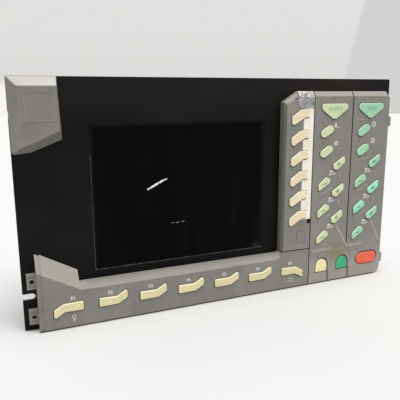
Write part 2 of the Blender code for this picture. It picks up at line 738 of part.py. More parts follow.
def function_bezel_outlines():
    left, right = FUNCTION_BEZEL_LEFT, BEZEL_RIGHT
    wedge = left + WEDGE_WIDTH
    seam = SOFTKEY_BEZEL_BOTTOM - SEAM_GAP
    bend = SOFTKEY_BEZEL_LEFT
    turn = COVER_HEIGHT / 2
    edge = [(left, 0), (right, 0), (right, seam), (bend, seam), (bend - turn / 2, FUNCTION_BEZEL_TOP),
            (wedge + turn / 4, FUNCTION_BEZEL_TOP), (wedge, WEDGE_END_HEIGHT), (left, WEDGE_TIP_HEIGHT)]
    face = [(left, LOWER_ROUND), (right, LOWER_ROUND), (right, seam), (bend, seam),
            (bend - turn / 2, FUNCTION_FACE_TOP), (wedge + turn / 3, FUNCTION_FACE_TOP),
            (wedge + turn / 8, FUNCTION_FACE_TOP + turn / 8), (left, WEDGE_FACE_TIP)]
    return edge, face


def wedge_rings(edge, face):
    """Like cover_rings, but the wedge's own edge starts low on the plate."""
    rings = cover_rings(edge, face, (0, 1), EDGE_WALL_HEIGHT)
    result = []
    for ring, depth in rings:
        rise = max(depth - LOW_EDGE_HEIGHT, 0) / (COVER_HEIGHT - LOW_EDGE_HEIGHT)
        shaped = list(ring)
        for i in (6, 7):
            start, end = edge[i], face[i]
            shaped[i] = (start[0] + (end[0] - start[0]) * rise, start[1] + (end[1] - start[1]) * rise)
        result.append((shaped, depth))
    result.insert(1, (edge, LOW_EDGE_HEIGHT))
    return result


def board_passage():
    """Where the display's key board runs on from one bezel to the next."""
    left, right = softkey_board_left() - SEAT_GAP * 2, BEZEL_RIGHT - BOARD_MARGIN + SEAT_GAP * 2
    bottom, top = FUNCTION_BEZEL_TOP - COVER_WALL * 2, SOFTKEY_BEZEL_BOTTOM + COVER_WALL * 2
    return block(left, right, -OVERRUN, PAD_FRONT + SEAT_GAP, bottom, top)


def end_step_outline(tip):
    """What lies above the stepped end of the wedge, whose own tip is at the height given."""
    slope = (WEDGE_TIP_HEIGHT - WEDGE_END_HEIGHT) / WEDGE_WIDTH
    start, end = FUNCTION_BEZEL_LEFT - OVERRUN, FUNCTION_BEZEL_LEFT + END_STEP_WIDTH
    low = tip - END_STEP_DROP * 2
    top = WEDGE_TIP_HEIGHT + OVERRUN * 2
    return [(start, low + slope * OVERRUN), (end, low - slope * END_STEP_WIDTH), (end, top), (start, top)]


def make_function_bezel(finish, keys):
    edge, face = function_bezel_outlines()
    bezel = piece("function_key_bezel", [wedge_rings(edge, face)], finish)
    top = edge[3][1] - COVER_WALL
    low_left, low_right = edge[0][0] + COVER_WALL, edge[1][0] - COVER_WALL
    inner_top = FUNCTION_FACE_TOP - COVER_WALL / 2
    hollow = [(low_left, LOWER_ROUND), (low_right, LOWER_ROUND), (low_right, top),
              (SOFTKEY_BEZEL_LEFT + COVER_WALL, top), (SOFTKEY_BEZEL_LEFT, inner_top),
              (low_left, inner_top)]
    cut(bezel, [through(hollow, -OVERRUN, FACE_INSIDE)], "hollow")
    cut(bezel, [board_passage()], "board_passage")
    step = FUNCTION_BEZEL_LEFT + END_STEP_WIDTH
    past_face = COVER_HEIGHT + OVERRUN
    cut(bezel, [block(-OVERRUN, step, COVER_HEIGHT - END_STEP_DROP, past_face, -OVERRUN,
                      WEDGE_TIP_HEIGHT)], "end_step")
    low, high = end_step_outline(WEDGE_TIP_HEIGHT), end_step_outline(WEDGE_FACE_TIP)
    slope = [(low, -OVERRUN), (low, LOW_EDGE_HEIGHT), (high, COVER_HEIGHT), (high, past_face)]
    cut(bezel, [slope], "end_step_slope")
    cut(bezel, apertures(keys), "apertures")
    tab_left = FUNCTION_BEZEL_LEFT - TAB_WIDTH
    tabs = [block(tab_left, FUNCTION_BEZEL_LEFT + COVER_WALL / 2, SEAT_GAP, TAB_THICKNESS,
                  z - TAB_HEIGHT / 2, z + TAB_HEIGHT / 2) for z in TAB_CENTRES]
    join(bezel, tabs, "tabs")
    hole_x = tab_left + TAB_WIDTH * 0.55
    cut(bezel, [through(circle(TAB_HOLE_RADIUS, hole_x, z), -OVERRUN, TAB_THICKNESS + OVERRUN)
                for z in TAB_CENTRES], "tab_holes")


# Softkey bezel and its label strip

def softkey_bezel_outlines():
    left, right, bottom, top = SOFTKEY_BEZEL_LEFT, BEZEL_RIGHT, SOFTKEY_BEZEL_BOTTOM, COVER_TOP
    slope = SHOULDER_HEIGHT / SHOULDER_WIDTH
    corner = LOWER_ROUND
    edge = [(left + corner, bottom), (right, bottom), (right, top), (left + SHOULDER_WIDTH, top),
            (left, top - SHOULDER_HEIGHT), (left, bottom + corner),
            (left + corner * 0.3, bottom + corner * 0.3)]
    shoulder_low = top - SHOULDER_HEIGHT - SHOULDER_CHAMFER + SIDE_ROUND * slope
    face_corner = left + SHOULDER_WIDTH
    face = [(left + corner, bottom), (right, bottom), (right, top - TOP_CHAMFER),
            (face_corner, top - TOP_CHAMFER), (left + SIDE_ROUND, shoulder_low),
            (left + SIDE_ROUND, bottom + corner), (left + corner * 0.6, bottom + corner * 0.5)]
    return edge, face


def strip_box():
    right = BEZEL_RIGHT - STRIP_RIGHT_MARGIN
    heights = [z for x, z in softkey_places()]
    return right - STRIP_WIDTH, right, heights[-1] - STRIP_BELOW_KEY, heights[0] + STRIP_ABOVE_KEY


def strip_outline():
    """A comb: a spine on the right, and teeth that reach in between the keys."""
    left, right, bottom, top = strip_box()
    spine = right - STRIP_SPINE_WIDTH
    outline = [(right, bottom), (right, top)]
    notch_top = SOFTKEY_HEIGHT / 2 + KEY_CLEARANCE
    notch_bottom = (0.5 - softkey_shares[3][1]) * SOFTKEY_HEIGHT + KEY_CLEARANCE
    teeth = []
    for x, z in softkey_places():
        high, low = z + notch_top, z - notch_bottom
        teeth += [(left, high), (spine, high), (spine, low), (left, low)]
    if teeth[0][1] < top:
        outline.append((left, top))
    else:
        outline.append((spine, top))
        teeth = teeth[2:]
    return outline + teeth + [(left, bottom)]


def make_softkey_bezel(finish, keys):
    edge, face = softkey_bezel_outlines()
    bezel = piece("softkey_bezel", [cover_rings(edge, face, (), EDGE_WALL_HEIGHT)], finish)
    wall = COVER_WALL
    inner = [(edge[0][0] + wall, edge[0][1] + wall), (edge[1][0] - wall, edge[1][1] + wall),
             (edge[2][0] - wall, face[2][1] - wall / 2), (face[3][0] + wall, face[3][1] - wall / 2),
             (edge[4][0] + wall, face[4][1] - wall / 2), (edge[5][0] + wall, edge[0][1] + wall * 2)]
    cut(bezel, [through(inner, -OVERRUN, FACE_INSIDE)], "hollow")
    cut(bezel, [board_passage()], "board_passage")
    left, right, bottom, top = strip_box()
    recess = rectangle(left - SEAT_GAP, right + SEAT_GAP, bottom - SEAT_GAP, top + SEAT_GAP)
    floor = COVER_HEIGHT - STRIP_THICKNESS - SEAT_GAP
    notch = block(right - NOTCH_WIDTH, right, FACE_INSIDE + COVER_WALL / 2, COVER_HEIGHT + OVERRUN,
                  bottom - NOTCH_HEIGHT, bottom + SEAT_GAP)
    cut(bezel, [through(recess, floor, COVER_HEIGHT + OVERRUN)], "strip_recess")
    cut(bezel, [notch], "strip_notch")
    cut(bezel, apertures(keys), "apertures")


def make_label_strip(finish):
    piece("label_strip", [through(strip_outline(), COVER_HEIGHT - STRIP_THICKNESS, COVER_HEIGHT)], finish)


# Machine key cover

def key_cover_outlines():
    left, right = KEY_COVER_LEFT, KEY_COVER_LEFT + KEY_COVER_WIDTH
    cut_size, radius = KEY_COVER_CORNER_CUT, KEY_COVER_LOWER_RADIUS
    round_corner = arc(radius, -math.pi / 2, 0, CORNER_ROUND, right - radius, radius)
    edge = [(left, 0)] + round_corner + [(right, COVER_TOP - cut_size), (right - cut_size, COVER_TOP),
                                         (left, COVER_TOP)]
    face_right, face_top = right - KEY_COVER_SIDE_CHAMFER, COVER_TOP - TOP_CHAMFER
    face_radius = radius - KEY_COVER_SIDE_CHAMFER
    inner = arc(face_radius, -math.pi / 2, 0, CORNER_ROUND, right - radius, LOWER_ROUND + face_radius)
    face = [(left, LOWER_ROUND)] + inner + [(face_right, face_top - cut_size / 3),
                                            (face_right - cut_size / 3, face_top), (left, face_top)]
    return edge, face


def arch_groove_steps(x):
    """A groove in the lower edge, from beside an arch key round the bottom."""
    half = ARCH_GROOVE_WIDTH / 2
    top = ARCH_KEY_Z - ARCH_KEY_HEIGHT / 2
    low, past_face = COVER_HEIGHT - LOWER_ROUND, COVER_HEIGHT + OVERRUN
    return [block(x - half, x + half, low, past_face, -OVERRUN, LOWER_ROUND / 4),
            block(x - half, x + half, COVER_HEIGHT - ARCH_GROOVE_WIDTH, past_face, LOWER_ROUND / 4, top)]


def make_key_cover(finish, keys):
    edge, face = key_cover_outlines()
    cover = piece("machine_key_cover", [cover_rings(edge, face, (0, 1, 2), EDGE_WALL_HEIGHT)], finish)
    left, right = KEY_COVER_LEFT + COVER_WALL, KEY_COVER_LEFT + KEY_COVER_WIDTH - COVER_WALL
    inner_top = COVER_TOP - TOP_CHAMFER - COVER_WALL / 2
    corner = KEY_COVER_LOWER_RADIUS / 2
    hollow = [(left, LOWER_ROUND), (right - corner, LOWER_ROUND), (right, LOWER_ROUND + corner),
              (right, inner_top), (left, inner_top)]
    cut(cover, [through(hollow, -OVERRUN, FACE_INSIDE)], "hollow")
    groove_x = column_x(0) + COLUMN_PITCH / 2
    half = COLUMN_GROOVE_WIDTH / 2
    groove = block(groove_x - half, groove_x + half, COVER_HEIGHT - COLUMN_GROOVE_DEPTH,
                   COVER_HEIGHT + OVERRUN, COLUMN_GROOVE_END, COVER_TOP + OVERRUN)
    cut(cover, [groove], "column_groove")
    for x in lower_key_places()[:2]:
        side = x + ARCH_KEY_WIDTH / 2 + ARCH_CLEARANCE - ARCH_GROOVE_WIDTH / 2
        for index, body in enumerate(arch_groove_steps(side)):
            cut(cover, [body], f"arch_groove_{index}")
    cut(cover, apertures(keys), "apertures")
    side = KEY_COVER_LEFT + KEY_COVER_WIDTH
    lugs = [block(side - COVER_WALL / 2, side + LUG_REACH, SEAT_GAP, LUG_THICKNESS,
                  z - LUG_HEIGHT / 2, z + LUG_HEIGHT / 2) for z in LUG_CENTRES]
    join(cover, lugs, "lugs")


# Key boards and mats

def softkey_board_left():
    return SOFTKEY_BEZEL_LEFT + SOFTKEY_X - BOARD_WIDTH_ON_SOFTKEYS / 2 - BOARD_MARGIN / 2


def softkey_board_top():
    return COVER_TOP - SOFTKEY_TOP + SOFTKEY_HEIGHT / 2 + BOARD_MARGIN / 2


def display_board_left():
    return FUNCTION_BEZEL_LEFT + COVER_WALL + SEAT_GAP * 2


def display_board_outline():
    left, right, top = display_board_left(), BEZEL_RIGHT - BOARD_MARGIN, softkey_board_top()
    shelf = BOARD_BOTTOM + BOARD_HEIGHT_ON_FUNCTION_KEYS
    inner = softkey_board_left()
    return [(left, BOARD_BOTTOM), (right, BOARD_BOTTOM), (right, top), (inner, top), (inner, shelf),
            (left, shelf)]


def machine_board_box():
    return (KEY_COVER_LEFT + BOARD_MARGIN, PANEL_WIDTH - RACK_SLOT_DEPTH - BOARD_SLOT_CLEARANCE,
            BOARD_BOTTOM, COVER_TOP - TOP_CHAMFER - BOARD_MARGIN)


def make_key_boards(board_finish, mat_finish, display, machine):
    boards = (("display_key", display_board_outline(), display),
              ("machine_key", rectangle(*machine_board_box()), machine))
    for name, outline, keys in boards:
        piece(f"{name}_board", [through(outline, BOARD_BACK, BOARD_FRONT)], board_finish)
        mat = piece(f"{name}_mat", [through(grown(outline, -MAT_INSET), MAT_BACK, MAT_FRONT)], mat_finish)
        join(mat, pads(keys), "pads")


# Moving keys

def key_steps(outline, proud):
    flange = grown(outline, KEY_FLANGE_LIP + clearance(proud) - KEY_CLEARANCE)
    plunger = circle(PLUNGER_RADIUS)
    front = COVER_HEIGHT + proud
    return [(plunger, PLUNGER_END), (plunger, FLANGE_BACK), (flange, FLANGE_BACK), (flange, FLANGE_FRONT),
            (outline, FLANGE_FRONT), (outline, front - KEY_EDGE), (grown(outline, -KEY_EDGE), front)]


def key_finish(name, finishes):
    for start, finish in (("softkey", "cream"), ("function", "straw"), ("manual", "pale_green"),
                          ("auto", "mint"), ("cycle", "cream"), ("start", "green"), ("stop", "red")):
        if name.startswith(start):
            return finishes[finish]
    return finishes["cover"]


def make_keys(keys, finishes):
    for name, outline, (x, z), proud in keys:
        mesh = steps_mesh(name, [key_steps(outline, proud)], True)
        link(name, mesh, key_finish(name, finishes), x, z)


# Display

def make_bracket(finish):
    left, right, bottom, top = bracket_box()
    sheet = block(left, right, BRACKET_BACK, BRACKET_FRONT, bottom, top)
    bracket = piece("display_bracket", [sheet], finish)
    back, front = BRACKET_BACK - OVERRUN, BRACKET_FRONT + OVERRUN
    cut(bracket, [through(window_outline(BRACKET_LIP), back, front)], "window")
    holes = [through(circle(STUD_RADIUS + SEAT_GAP, *place), back, front) for place in bracket_studs()]
    cut(bracket, holes, "stud_holes")
    middle = (BRACKET_FRONT + BRACKET_BACK) / 2
    module_left, module_right, module_bottom, module_top = module_box()
    cheeks = [block(x, x + BRACKET_SHEET, BRACKET_BACK - CHEEK_DEPTH, middle, module_bottom, module_top)
              for x in (module_left - SEAT_GAP - BRACKET_SHEET, module_right + SEAT_GAP)]
    join(bracket, cheeks, "cheeks")
    studs = [through(circle(STUD_RADIUS, *place), BRACKET_BACK - INVERTER_STUD_LENGTH, middle)
             for place in inverter_studs()]
    join(bracket, studs, "inverter_studs")


def module_box():
    middle_x = WINDOW_LEFT + WINDOW_WIDTH / 2
    middle_z = WINDOW_BOTTOM + WINDOW_HEIGHT / 2
    half_width = WINDOW_WIDTH / 2 + MODULE_SIDE_MARGIN
    half_height = WINDOW_HEIGHT / 2 + MODULE_END_MARGIN
    return middle_x - half_width, middle_x + half_width, middle_z - half_height, middle_z + half_height


def make_display_module(finish):
    box = rectangle(*module_box())
    view = window_outline(BRACKET_LIP)
    module = piece("display_module", [through(box, MODULE_BACK, MODULE_FRONT)], finish)
    cut(module, [through(view, MODULE_FRONT - MODULE_FRAME_DEPTH, MODULE_FRONT + OVERRUN)], "view")


def inverter_box():
    middle_x = WINDOW_LEFT + WINDOW_WIDTH / 2
    top = module_box()[2] - SEAT_GAP * 4
    return middle_x - INVERTER_WIDTH / 2, middle_x + INVERTER_WIDTH / 2, top - INVERTER_HEIGHT, top


def inverter_studs():
    left, right, bottom, top = inverter_box()
    inset = INVERTER_HEIGHT / 4
    return [(left + inset, (bottom + top) / 2), (right - inset, (bottom + top) / 2)]


def make_inverter(finish):
    left, right, bottom, top = inverter_box()
    front = BRACKET_BACK - INVERTER_STUD_LENGTH - SEAT_GAP
    back = front - BOARD_THICKNESS
    inverter = piece("backlight_inverter", [block(left, right, back, front, bottom, top)], finish)
    middle, half = (left + right) / 2, INVERTER_COIL_WIDTH / 2
    coil = block(middle - half, middle + half, back - INVERTER_COIL_DEPTH, back + BOARD_THICKNESS / 2,
                 bottom + SEAT_GAP, top - SEAT_GAP)
    join(inverter, [coil], "coil")


# Rear chassis and cover

def make_chassis(finish):
    left, right, top = CHASSIS_LEFT, CHASSIS_LEFT + CHASSIS_WIDTH, CHASSIS_HEIGHT
    back, front, sheet = CHASSIS_BACK, CHASSIS_FRONT, CHASSIS_SHEET
    chassis = piece("rear_chassis", [block(left, right, back, front, 0, top)], finish)
    inside = block(left + sheet, right - sheet, back + sheet, front - sheet, sheet, top - sheet)
    lip = sheet + CHASSIS_FLANGE
    opening = block(left + lip, right - lip, back - OVERRUN, front + OVERRUN, lip, top - lip)
    cut(chassis, [inside], "inside")
    cut(chassis, [opening], "opening")
    holes = [through(circle(STUD_RADIUS + SEAT_GAP, *place), front - OVERRUN, front + OVERRUN)
             for place in chassis_studs()]
    holes += [through(circle(SCREW_RADIUS + SEAT_GAP, *place), back - OVERRUN, back + OVERRUN)
              for place in screw_places()]
    cut(chassis, holes, "holes")
    cut(chassis, top_vents(), "top_vents")


def vent_lefts():
    start = PANEL_WIDTH / 2 - VENT_PITCH * (VENT_COUNT - 1) / 2 - VENT_WIDTH / 2
    return [start + VENT_PITCH * i for i in range(VENT_COUNT)]


def top_vents():
    middle = (CHASSIS_FRONT + CHASSIS_BACK) / 2
    return [block(x, x + VENT_WIDTH, middle - VENT_LENGTH / 2, middle + VENT_LENGTH / 2,
                  CHASSIS_HEIGHT - OVERRUN, CHASSIS_HEIGHT + OVERRUN) for x in vent_lefts()]


def screw_places():
    inset = CHASSIS_SHEET + CHASSIS_FLANGE / 2
    return [(x, CHASSIS_HEIGHT / 2) for x in (CHASSIS_LEFT + inset, CHASSIS_LEFT + CHASSIS_WIDTH - inset)]


def main_board_studs():
    left, right = MAIN_BOARD_LEFT + STUD_INSET, MAIN_BOARD_LEFT + MAIN_BOARD_WIDTH - STUD_INSET
    bottom, top = MAIN_BOARD_BOTTOM + STUD_INSET, MAIN_BOARD_BOTTOM + MAIN_BOARD_HEIGHT - STUD_INSET
    return [(x, z) for x in (left, right) for z in (bottom, top)]


def make_rear_cover(finish):
    sheet = block(CHASSIS_LEFT, CHASSIS_LEFT + CHASSIS_WIDTH, REAR_COVER_BACK, REAR_COVER_FRONT, 0,
                  CHASSIS_HEIGHT)
    cover = piece("rear_cover", [sheet], finish)
    back, front = REAR_COVER_BACK - OVERRUN, REAR_COVER_FRONT + OVERRUN
    holes = [through(circle(SCREW_RADIUS + SEAT_GAP, *place), back, front) for place in screw_places()]
    holes.append(through(circle(EARTH_RADIUS + SEAT_GAP, EARTH_X, CONNECTOR_Z), back, front))
    for x, width in ((IO_CONNECTOR_X, IO_SHELL_WIDTH), (SERIAL_CONNECTOR_X, SERIAL_SHELL_WIDTH)):
        holes.append(through(shell_outline(x, width, SEAT_GAP), back, front))
    holes.append(through(power_outline(SEAT_GAP), back, front))
    vent_top = CHASSIS_HEIGHT - COVER_VENT_TOP
    holes += [block(x, x + VENT_WIDTH, back, front, vent_top - VENT_LENGTH, vent_top)
              for x in vent_lefts()]
    cut(cover, holes, "openings")
    studs = [through(circle(STUD_RADIUS, *place), (REAR_COVER_FRONT + REAR_COVER_BACK) / 2,
                     REAR_COVER_FRONT + MAIN_BOARD_STUD) for place in main_board_studs()]
    join(cover, studs, "studs")


def make_main_board(finish):
    left, bottom = MAIN_BOARD_LEFT, MAIN_BOARD_BOTTOM
    sheet = block(left, left + MAIN_BOARD_WIDTH, MAIN_BOARD_BACK, MAIN_BOARD_FRONT, bottom,
                  bottom + MAIN_BOARD_HEIGHT)
    board = piece("main_board", [sheet], finish)
    inside = MAIN_BOARD_FRONT - BOARD_THICKNESS / 2
    parts = []
    for x, z, width, height in chip_shares:
        chip_left, chip_right = left + x * MAIN_BOARD_WIDTH, left + (x + width) * MAIN_BOARD_WIDTH
        chip_bottom, chip_top = bottom + z * MAIN_BOARD_HEIGHT, bottom + (z + height) * MAIN_BOARD_HEIGHT
        parts.append(block(chip_left, chip_right, inside, MAIN_BOARD_FRONT + CHIP_DEPTH, chip_bottom,
                           chip_top))
    for x in (DISPLAY_RIBBON_X, MACHINE_RIBBON_X):
        parts.append(block(x - HEADER_WIDTH / 2, x + HEADER_WIDTH / 2, inside, HEADER_FRONT,
                           RIBBON_BOTTOM, RIBBON_BOTTOM + RIBBON_WIDTH))
    join(board, parts, "parts")


def make_ribbon(name, x, finish):
    """A flat cable from a key board's back, through the plate, to the main board."""
    start, end = BOARD_BACK - SEAT_GAP, HEADER_FRONT + SEAT_GAP
    straight = PLATE_BACK - CABLE_SLOT_WIDTH
    route = [(x, start), (x, straight)]
    for i in range(1, RIBBON_STEPS + 1):
        share = i / RIBBON_STEPS
        bulge = RIBBON_SLACK * math.sin(math.pi * share) ** 2
        route.append((x + bulge, straight + (end - straight) * share))
    half = RIBBON_THICKNESS / 2
    right = [(px + half, depth) for px, depth in route]
    left = [(px - half, depth) for px, depth in reversed(route)]
    bm = bmesh.new()
    add_upright(bm, right + left, RIBBON_BOTTOM, RIBBON_BOTTOM + RIBBON_WIDTH)
    link(name, mesh_from(name, bm, True), finish)


def make_power_supply(finish):
    bottom = CHASSIS_SHEET + SEAT_GAP
    back = CHASSIS_BACK + CHASSIS_SHEET + CHASSIS_FLANGE / 2
    left, right = SUPPLY_LEFT, SUPPLY_LEFT + SUPPLY_WIDTH
    case = block(left, right, back, back + SUPPLY_LENGTH, bottom, bottom + SUPPLY_HEIGHT)
    supply = piece("power_supply", [case], finish)
    quarter = SUPPLY_LENGTH / 4
    ears = block(left - SUPPLY_EAR, right + SUPPLY_EAR, back + quarter, back + quarter * 3, bottom,
                 bottom + SUPPLY_EAR_THICKNESS)
    join(supply, [ears], "ears")


# Rear connectors

def shell_outline(x, width, gap):
    half, rise = width / 2 + gap, CONNECTOR_SHELL_HEIGHT / 2 + gap
    narrow = half - CONNECTOR_SHELL_DRAFT
    return [(x - narrow, CONNECTOR_Z - rise), (x + narrow, CONNECTOR_Z - rise),
            (x + half, CONNECTOR_Z + rise), (x - half, CONNECTOR_Z + rise)]


def power_outline(gap):
    return rectangle(POWER_X - POWER_WIDTH / 2 - gap, POWER_X + POWER_WIDTH / 2 + gap,
                     CONNECTOR_Z - POWER_HEIGHT / 2 - gap, CONNECTOR_Z + POWER_HEIGHT / 2 + gap)


def make_data_connector(name, x, shell_width, flange_width, finish):
    inside = REAR_COVER_FRONT + CONNECTOR_BODY_DEPTH
    rise = CONNECTOR_FLANGE_HEIGHT / 2
    flange = cut_corners(x - flange_width / 2, x + flange_width / 2, CONNECTOR_Z - rise,
                         CONNECTOR_Z + rise, SIDE_ROUND)
    shell = shell_outline(x, shell_width, 0)
    flange_back = CONNECTOR_SEAT - CONNECTOR_FLANGE_THICKNESS
    steps = [(shell, inside), (shell, CONNECTOR_SEAT), (flange, CONNECTOR_SEAT), (flange, flange_back),
             (shell, flange_back), (shell, flange_back - CONNECTOR_SHELL_REACH)]
    connector = piece(name, [steps], finish, True)
    reach = flange_width / 2 - JACK_EDGE_MARGIN
    inside_flange = CONNECTOR_SEAT - CONNECTOR_FLANGE_THICKNESS / 2
    jacks = [through(circle(JACK_RADIUS, x + side * reach, CONNECTOR_Z, SLOT_ROUND), inside_flange,
                     flange_back - JACK_REACH) for side in (-1, 1)]
    join(connector, jacks, "jacks")


def make_power_connector(finish):
    body, collar = power_outline(0), power_outline(POWER_COLLAR)
    inside = REAR_COVER_FRONT + CONNECTOR_BODY_DEPTH
    collar_back = CONNECTOR_SEAT - POWER_COLLAR
    end = collar_back - POWER_REACH
    steps = [(body, inside), (body, CONNECTOR_SEAT), (collar, CONNECTOR_SEAT), (collar, collar_back),
             (body, collar_back), (body, end)]
    connector = piece("power_connector", [steps], finish)
    first = POWER_X - POWER_POLE_PITCH * (POWER_POLES - 1) / 2
    poles = [first + i * POWER_POLE_PITCH for i in range(POWER_POLES)]
    half = POWER_HOLE / 2
    holes = [block(x - half, x + half, end - OVERRUN, end + POWER_HOLE_DEPTH, CONNECTOR_Z - half,
                   CONNECTOR_Z + half) for x in poles]
    cut(connector, holes, "wire_holes")


def make_earth_stud(finish):
    stud = circle(EARTH_RADIUS, EARTH_X, CONNECTOR_Z)
    nut = circle(EARTH_NUT_RADIUS, EARTH_X, CONNECTOR_Z, SLOT_ROUND)
    nut_back = CONNECTOR_SEAT - EARTH_NUT_HEIGHT
    steps = [(stud, REAR_COVER_FRONT + EARTH_INSIDE), (stud, CONNECTOR_SEAT), (nut, CONNECTOR_SEAT),
             (nut, nut_back), (stud, nut_back), (stud, CONNECTOR_SEAT - EARTH_REACH)]
    piece("earth_stud", [steps], finish, True)


def make_screws(finish):
    for side, place in zip(("left", "right"), screw_places()):
        shank, head = circle(SCREW_RADIUS, *place), circle(SCREW_HEAD_RADIUS, *place)
        steps = [(shank, CONNECTOR_SEAT + SCREW_LENGTH), (shank, CONNECTOR_SEAT), (head, CONNECTOR_SEAT),
                 (head, CONNECTOR_SEAT - SCREW_HEAD_HEIGHT)]
        piece(f"rear_cover_screw_{side}", [steps], finish, True)


# The assembly

for old in list(bpy.data.objects):
    bpy.data.objects.remove(old, do_unlink=True)

datum = bpy.data.objects.new("plate_corner", None)
bpy.context.collection.objects.link(datum)
datum.location = (-PANEL_WIDTH / 2, PLATE_FACE_Y, 0)

finish = make_finishes()
around_display = display_keys()
on_machine_cover = machine_keys()
softkeys = around_display[:-FUNCTION_KEY_COUNT]
function_keys = around_display[-FUNCTION_KEY_COUNT:]

make_front_plate(finish["plate"])
make_display_filter(finish["window"])
make_corner_cap(finish["cover"])
make_function_bezel(finish["cover"], function_keys)
make_softkey_bezel(finish["cover"], softkeys)
make_label_strip(finish["label"])
make_key_cover(finish["cover"], on_machine_cover)
make_key_boards(finish["board"], finish["rubber"], around_display, on_machine_cover)
make_keys(around_display + on_machine_cover, finish)
make_bracket(finish["zinc"])
make_display_module(finish["glass"])
make_inverter(finish["inverter"])
make_chassis(finish["zinc"])
make_rear_cover(finish["zinc"])
make_main_board(finish["board"])
make_ribbon("display_key_ribbon", DISPLAY_RIBBON_X, finish["ribbon"])
make_ribbon("machine_key_ribbon", MACHINE_RIBBON_X, finish["ribbon"])
make_power_supply(finish["zinc"])
make_data_connector("io_connector", IO_CONNECTOR_X, IO_SHELL_WIDTH, IO_FLANGE_WIDTH, finish["steel"])
make_data_connector("serial_connector", SERIAL_CONNECTOR_X, SERIAL_SHELL_WIDTH, SERIAL_FLANGE_WIDTH,
                    finish["steel"])
make_power_connector(finish["terminal"])
make_earth_stud(finish["steel"])
make_screws(finish["steel"])
bpy.context.view_layer.update()
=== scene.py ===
"""Looks of the operator panel: finishes, softened edges, rounded keys, marks, lamps, light and camera.

Lengths are in millimetres, counted from the lower left corner of the plate's front face:
x to the right, z up, and depth out of the face towards the operator.
"""

import json
import math
from collections import namedtuple

import bmesh
import bpy
from mathutils import Matrix, Vector, noise


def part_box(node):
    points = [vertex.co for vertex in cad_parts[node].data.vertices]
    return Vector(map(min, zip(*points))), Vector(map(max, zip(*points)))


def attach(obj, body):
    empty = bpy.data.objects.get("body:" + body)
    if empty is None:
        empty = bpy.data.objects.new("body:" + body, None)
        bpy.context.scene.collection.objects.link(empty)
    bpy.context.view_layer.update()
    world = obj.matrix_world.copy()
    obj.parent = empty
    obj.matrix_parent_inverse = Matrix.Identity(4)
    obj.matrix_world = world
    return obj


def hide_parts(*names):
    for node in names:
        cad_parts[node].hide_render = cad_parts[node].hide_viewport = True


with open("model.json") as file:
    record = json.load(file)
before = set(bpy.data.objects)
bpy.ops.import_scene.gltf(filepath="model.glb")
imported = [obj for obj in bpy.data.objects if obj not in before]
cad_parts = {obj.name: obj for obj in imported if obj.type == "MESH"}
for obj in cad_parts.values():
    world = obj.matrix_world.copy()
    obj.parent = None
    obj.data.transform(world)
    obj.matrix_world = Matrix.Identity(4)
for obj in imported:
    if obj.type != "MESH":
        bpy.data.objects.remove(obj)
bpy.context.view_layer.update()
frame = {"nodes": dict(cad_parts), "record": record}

MM = 0.001
TOLERANCE = 0.01 * MM
ORIGIN = Vector((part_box("front_plate")[0].x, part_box("display_filter")[0].y, 0))
COVER_FACE = (ORIGIN.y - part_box("label_strip")[0].y) / MM
PANEL = "panel"

# How far thin trim starts below a face and stands out of it
ROOT = 0.1
PROUD = 0.02
THIN_MARK = 0.03
MARK_HEIGHT = 0.06

# Edges of the keys
KEY_EDGE = 0.7
KEY_ROUND = 0.7
CORNER_CUT = 1.4
TOP_INSET = 0.08

SOFTKEYS = [f"softkey_{i}" for i in range(1, 7)]
FUNCTION_KEYS = [f"function_key_{i}" for i in range(1, 8)]
LOWER_KEYS = ["cycle_key", "start_key", "stop_key"]
COLUMNS = ("manual", "auto")
KEYS = SOFTKEYS + FUNCTION_KEYS + LOWER_KEYS
for column in COLUMNS:
    KEYS += sorted(node for node in frame["nodes"] if node.startswith(f"{column}_"))
WORN_LEGENDS = (3, 4, 5, 6)

Extent = namedtuple("Extent", "left right bottom top back front")
FINISHES = {}

# A CAD node's finish has the name of its slot in the record, apart from these
SLOTS = {row["node"]: row["material_slot"] for row in frame["record"]["subparts"]}
OWN_LOOKS = {"corner_cap": "cap_grey", "function_key_bezel": "bezel_grey",
             "softkey_bezel": "softkey_bezel_grey", "cycle_key": "key_ivory",
             "auto_plus_key_2": "key_turquoise", "auto_minus_key_2": "key_turquoise"}


# Places

def point(x, z, depth=0.0):
    return Vector((ORIGIN.x + x * MM, ORIGIN.y - depth * MM, ORIGIN.z + z * MM))


def extent(node):
    """The sides of a CAD node's box, in millimetres."""
    low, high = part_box(node)
    return Extent((low.x - ORIGIN.x) / MM, (high.x - ORIGIN.x) / MM, low.z / MM, high.z / MM,
                  (ORIGIN.y - high.y) / MM, (ORIGIN.y - low.y) / MM)


def centre(node):
    box = extent(node)
    return (box.left + box.right) / 2, (box.bottom + box.top) / 2


def key_stem(node):
    """Where the plunger behind a key meets its mat: the middle of the node's rearmost face."""
    mesh = frame["nodes"][node].data
    rear = max(v.co.y for v in mesh.vertices)
    spots = [v.co for v in mesh.vertices if v.co.y > rear - TOLERANCE]
    middle = sum(spots, Vector()) / len(spots)
    return (middle.x - ORIGIN.x) / MM, middle.z / MM


COVER = extent("machine_key_cover")
BEZEL = extent("softkey_bezel")
GLASS = extent("display_filter")


# Outlines

def moved(points, dx, dz):
    return [(x + dx, z + dz) for x, z in points]


def from_key(node, *points):
    """Places given as distances from a key's plunger."""
    return moved(points, *key_stem(node))


def beside(node, dx, dz):
    x, z = key_stem(node)
    return x + dx, z + dz


def around(x, z, radius, angle):
    """The place at a distance from (x, z), in the direction of an angle in radians."""
    return x + radius * math.cos(angle), z + radius * math.sin(angle)


def circle(x, z, radius, steps=20):
    return [around(x, z, radius, math.tau * i / steps) for i in range(steps)]


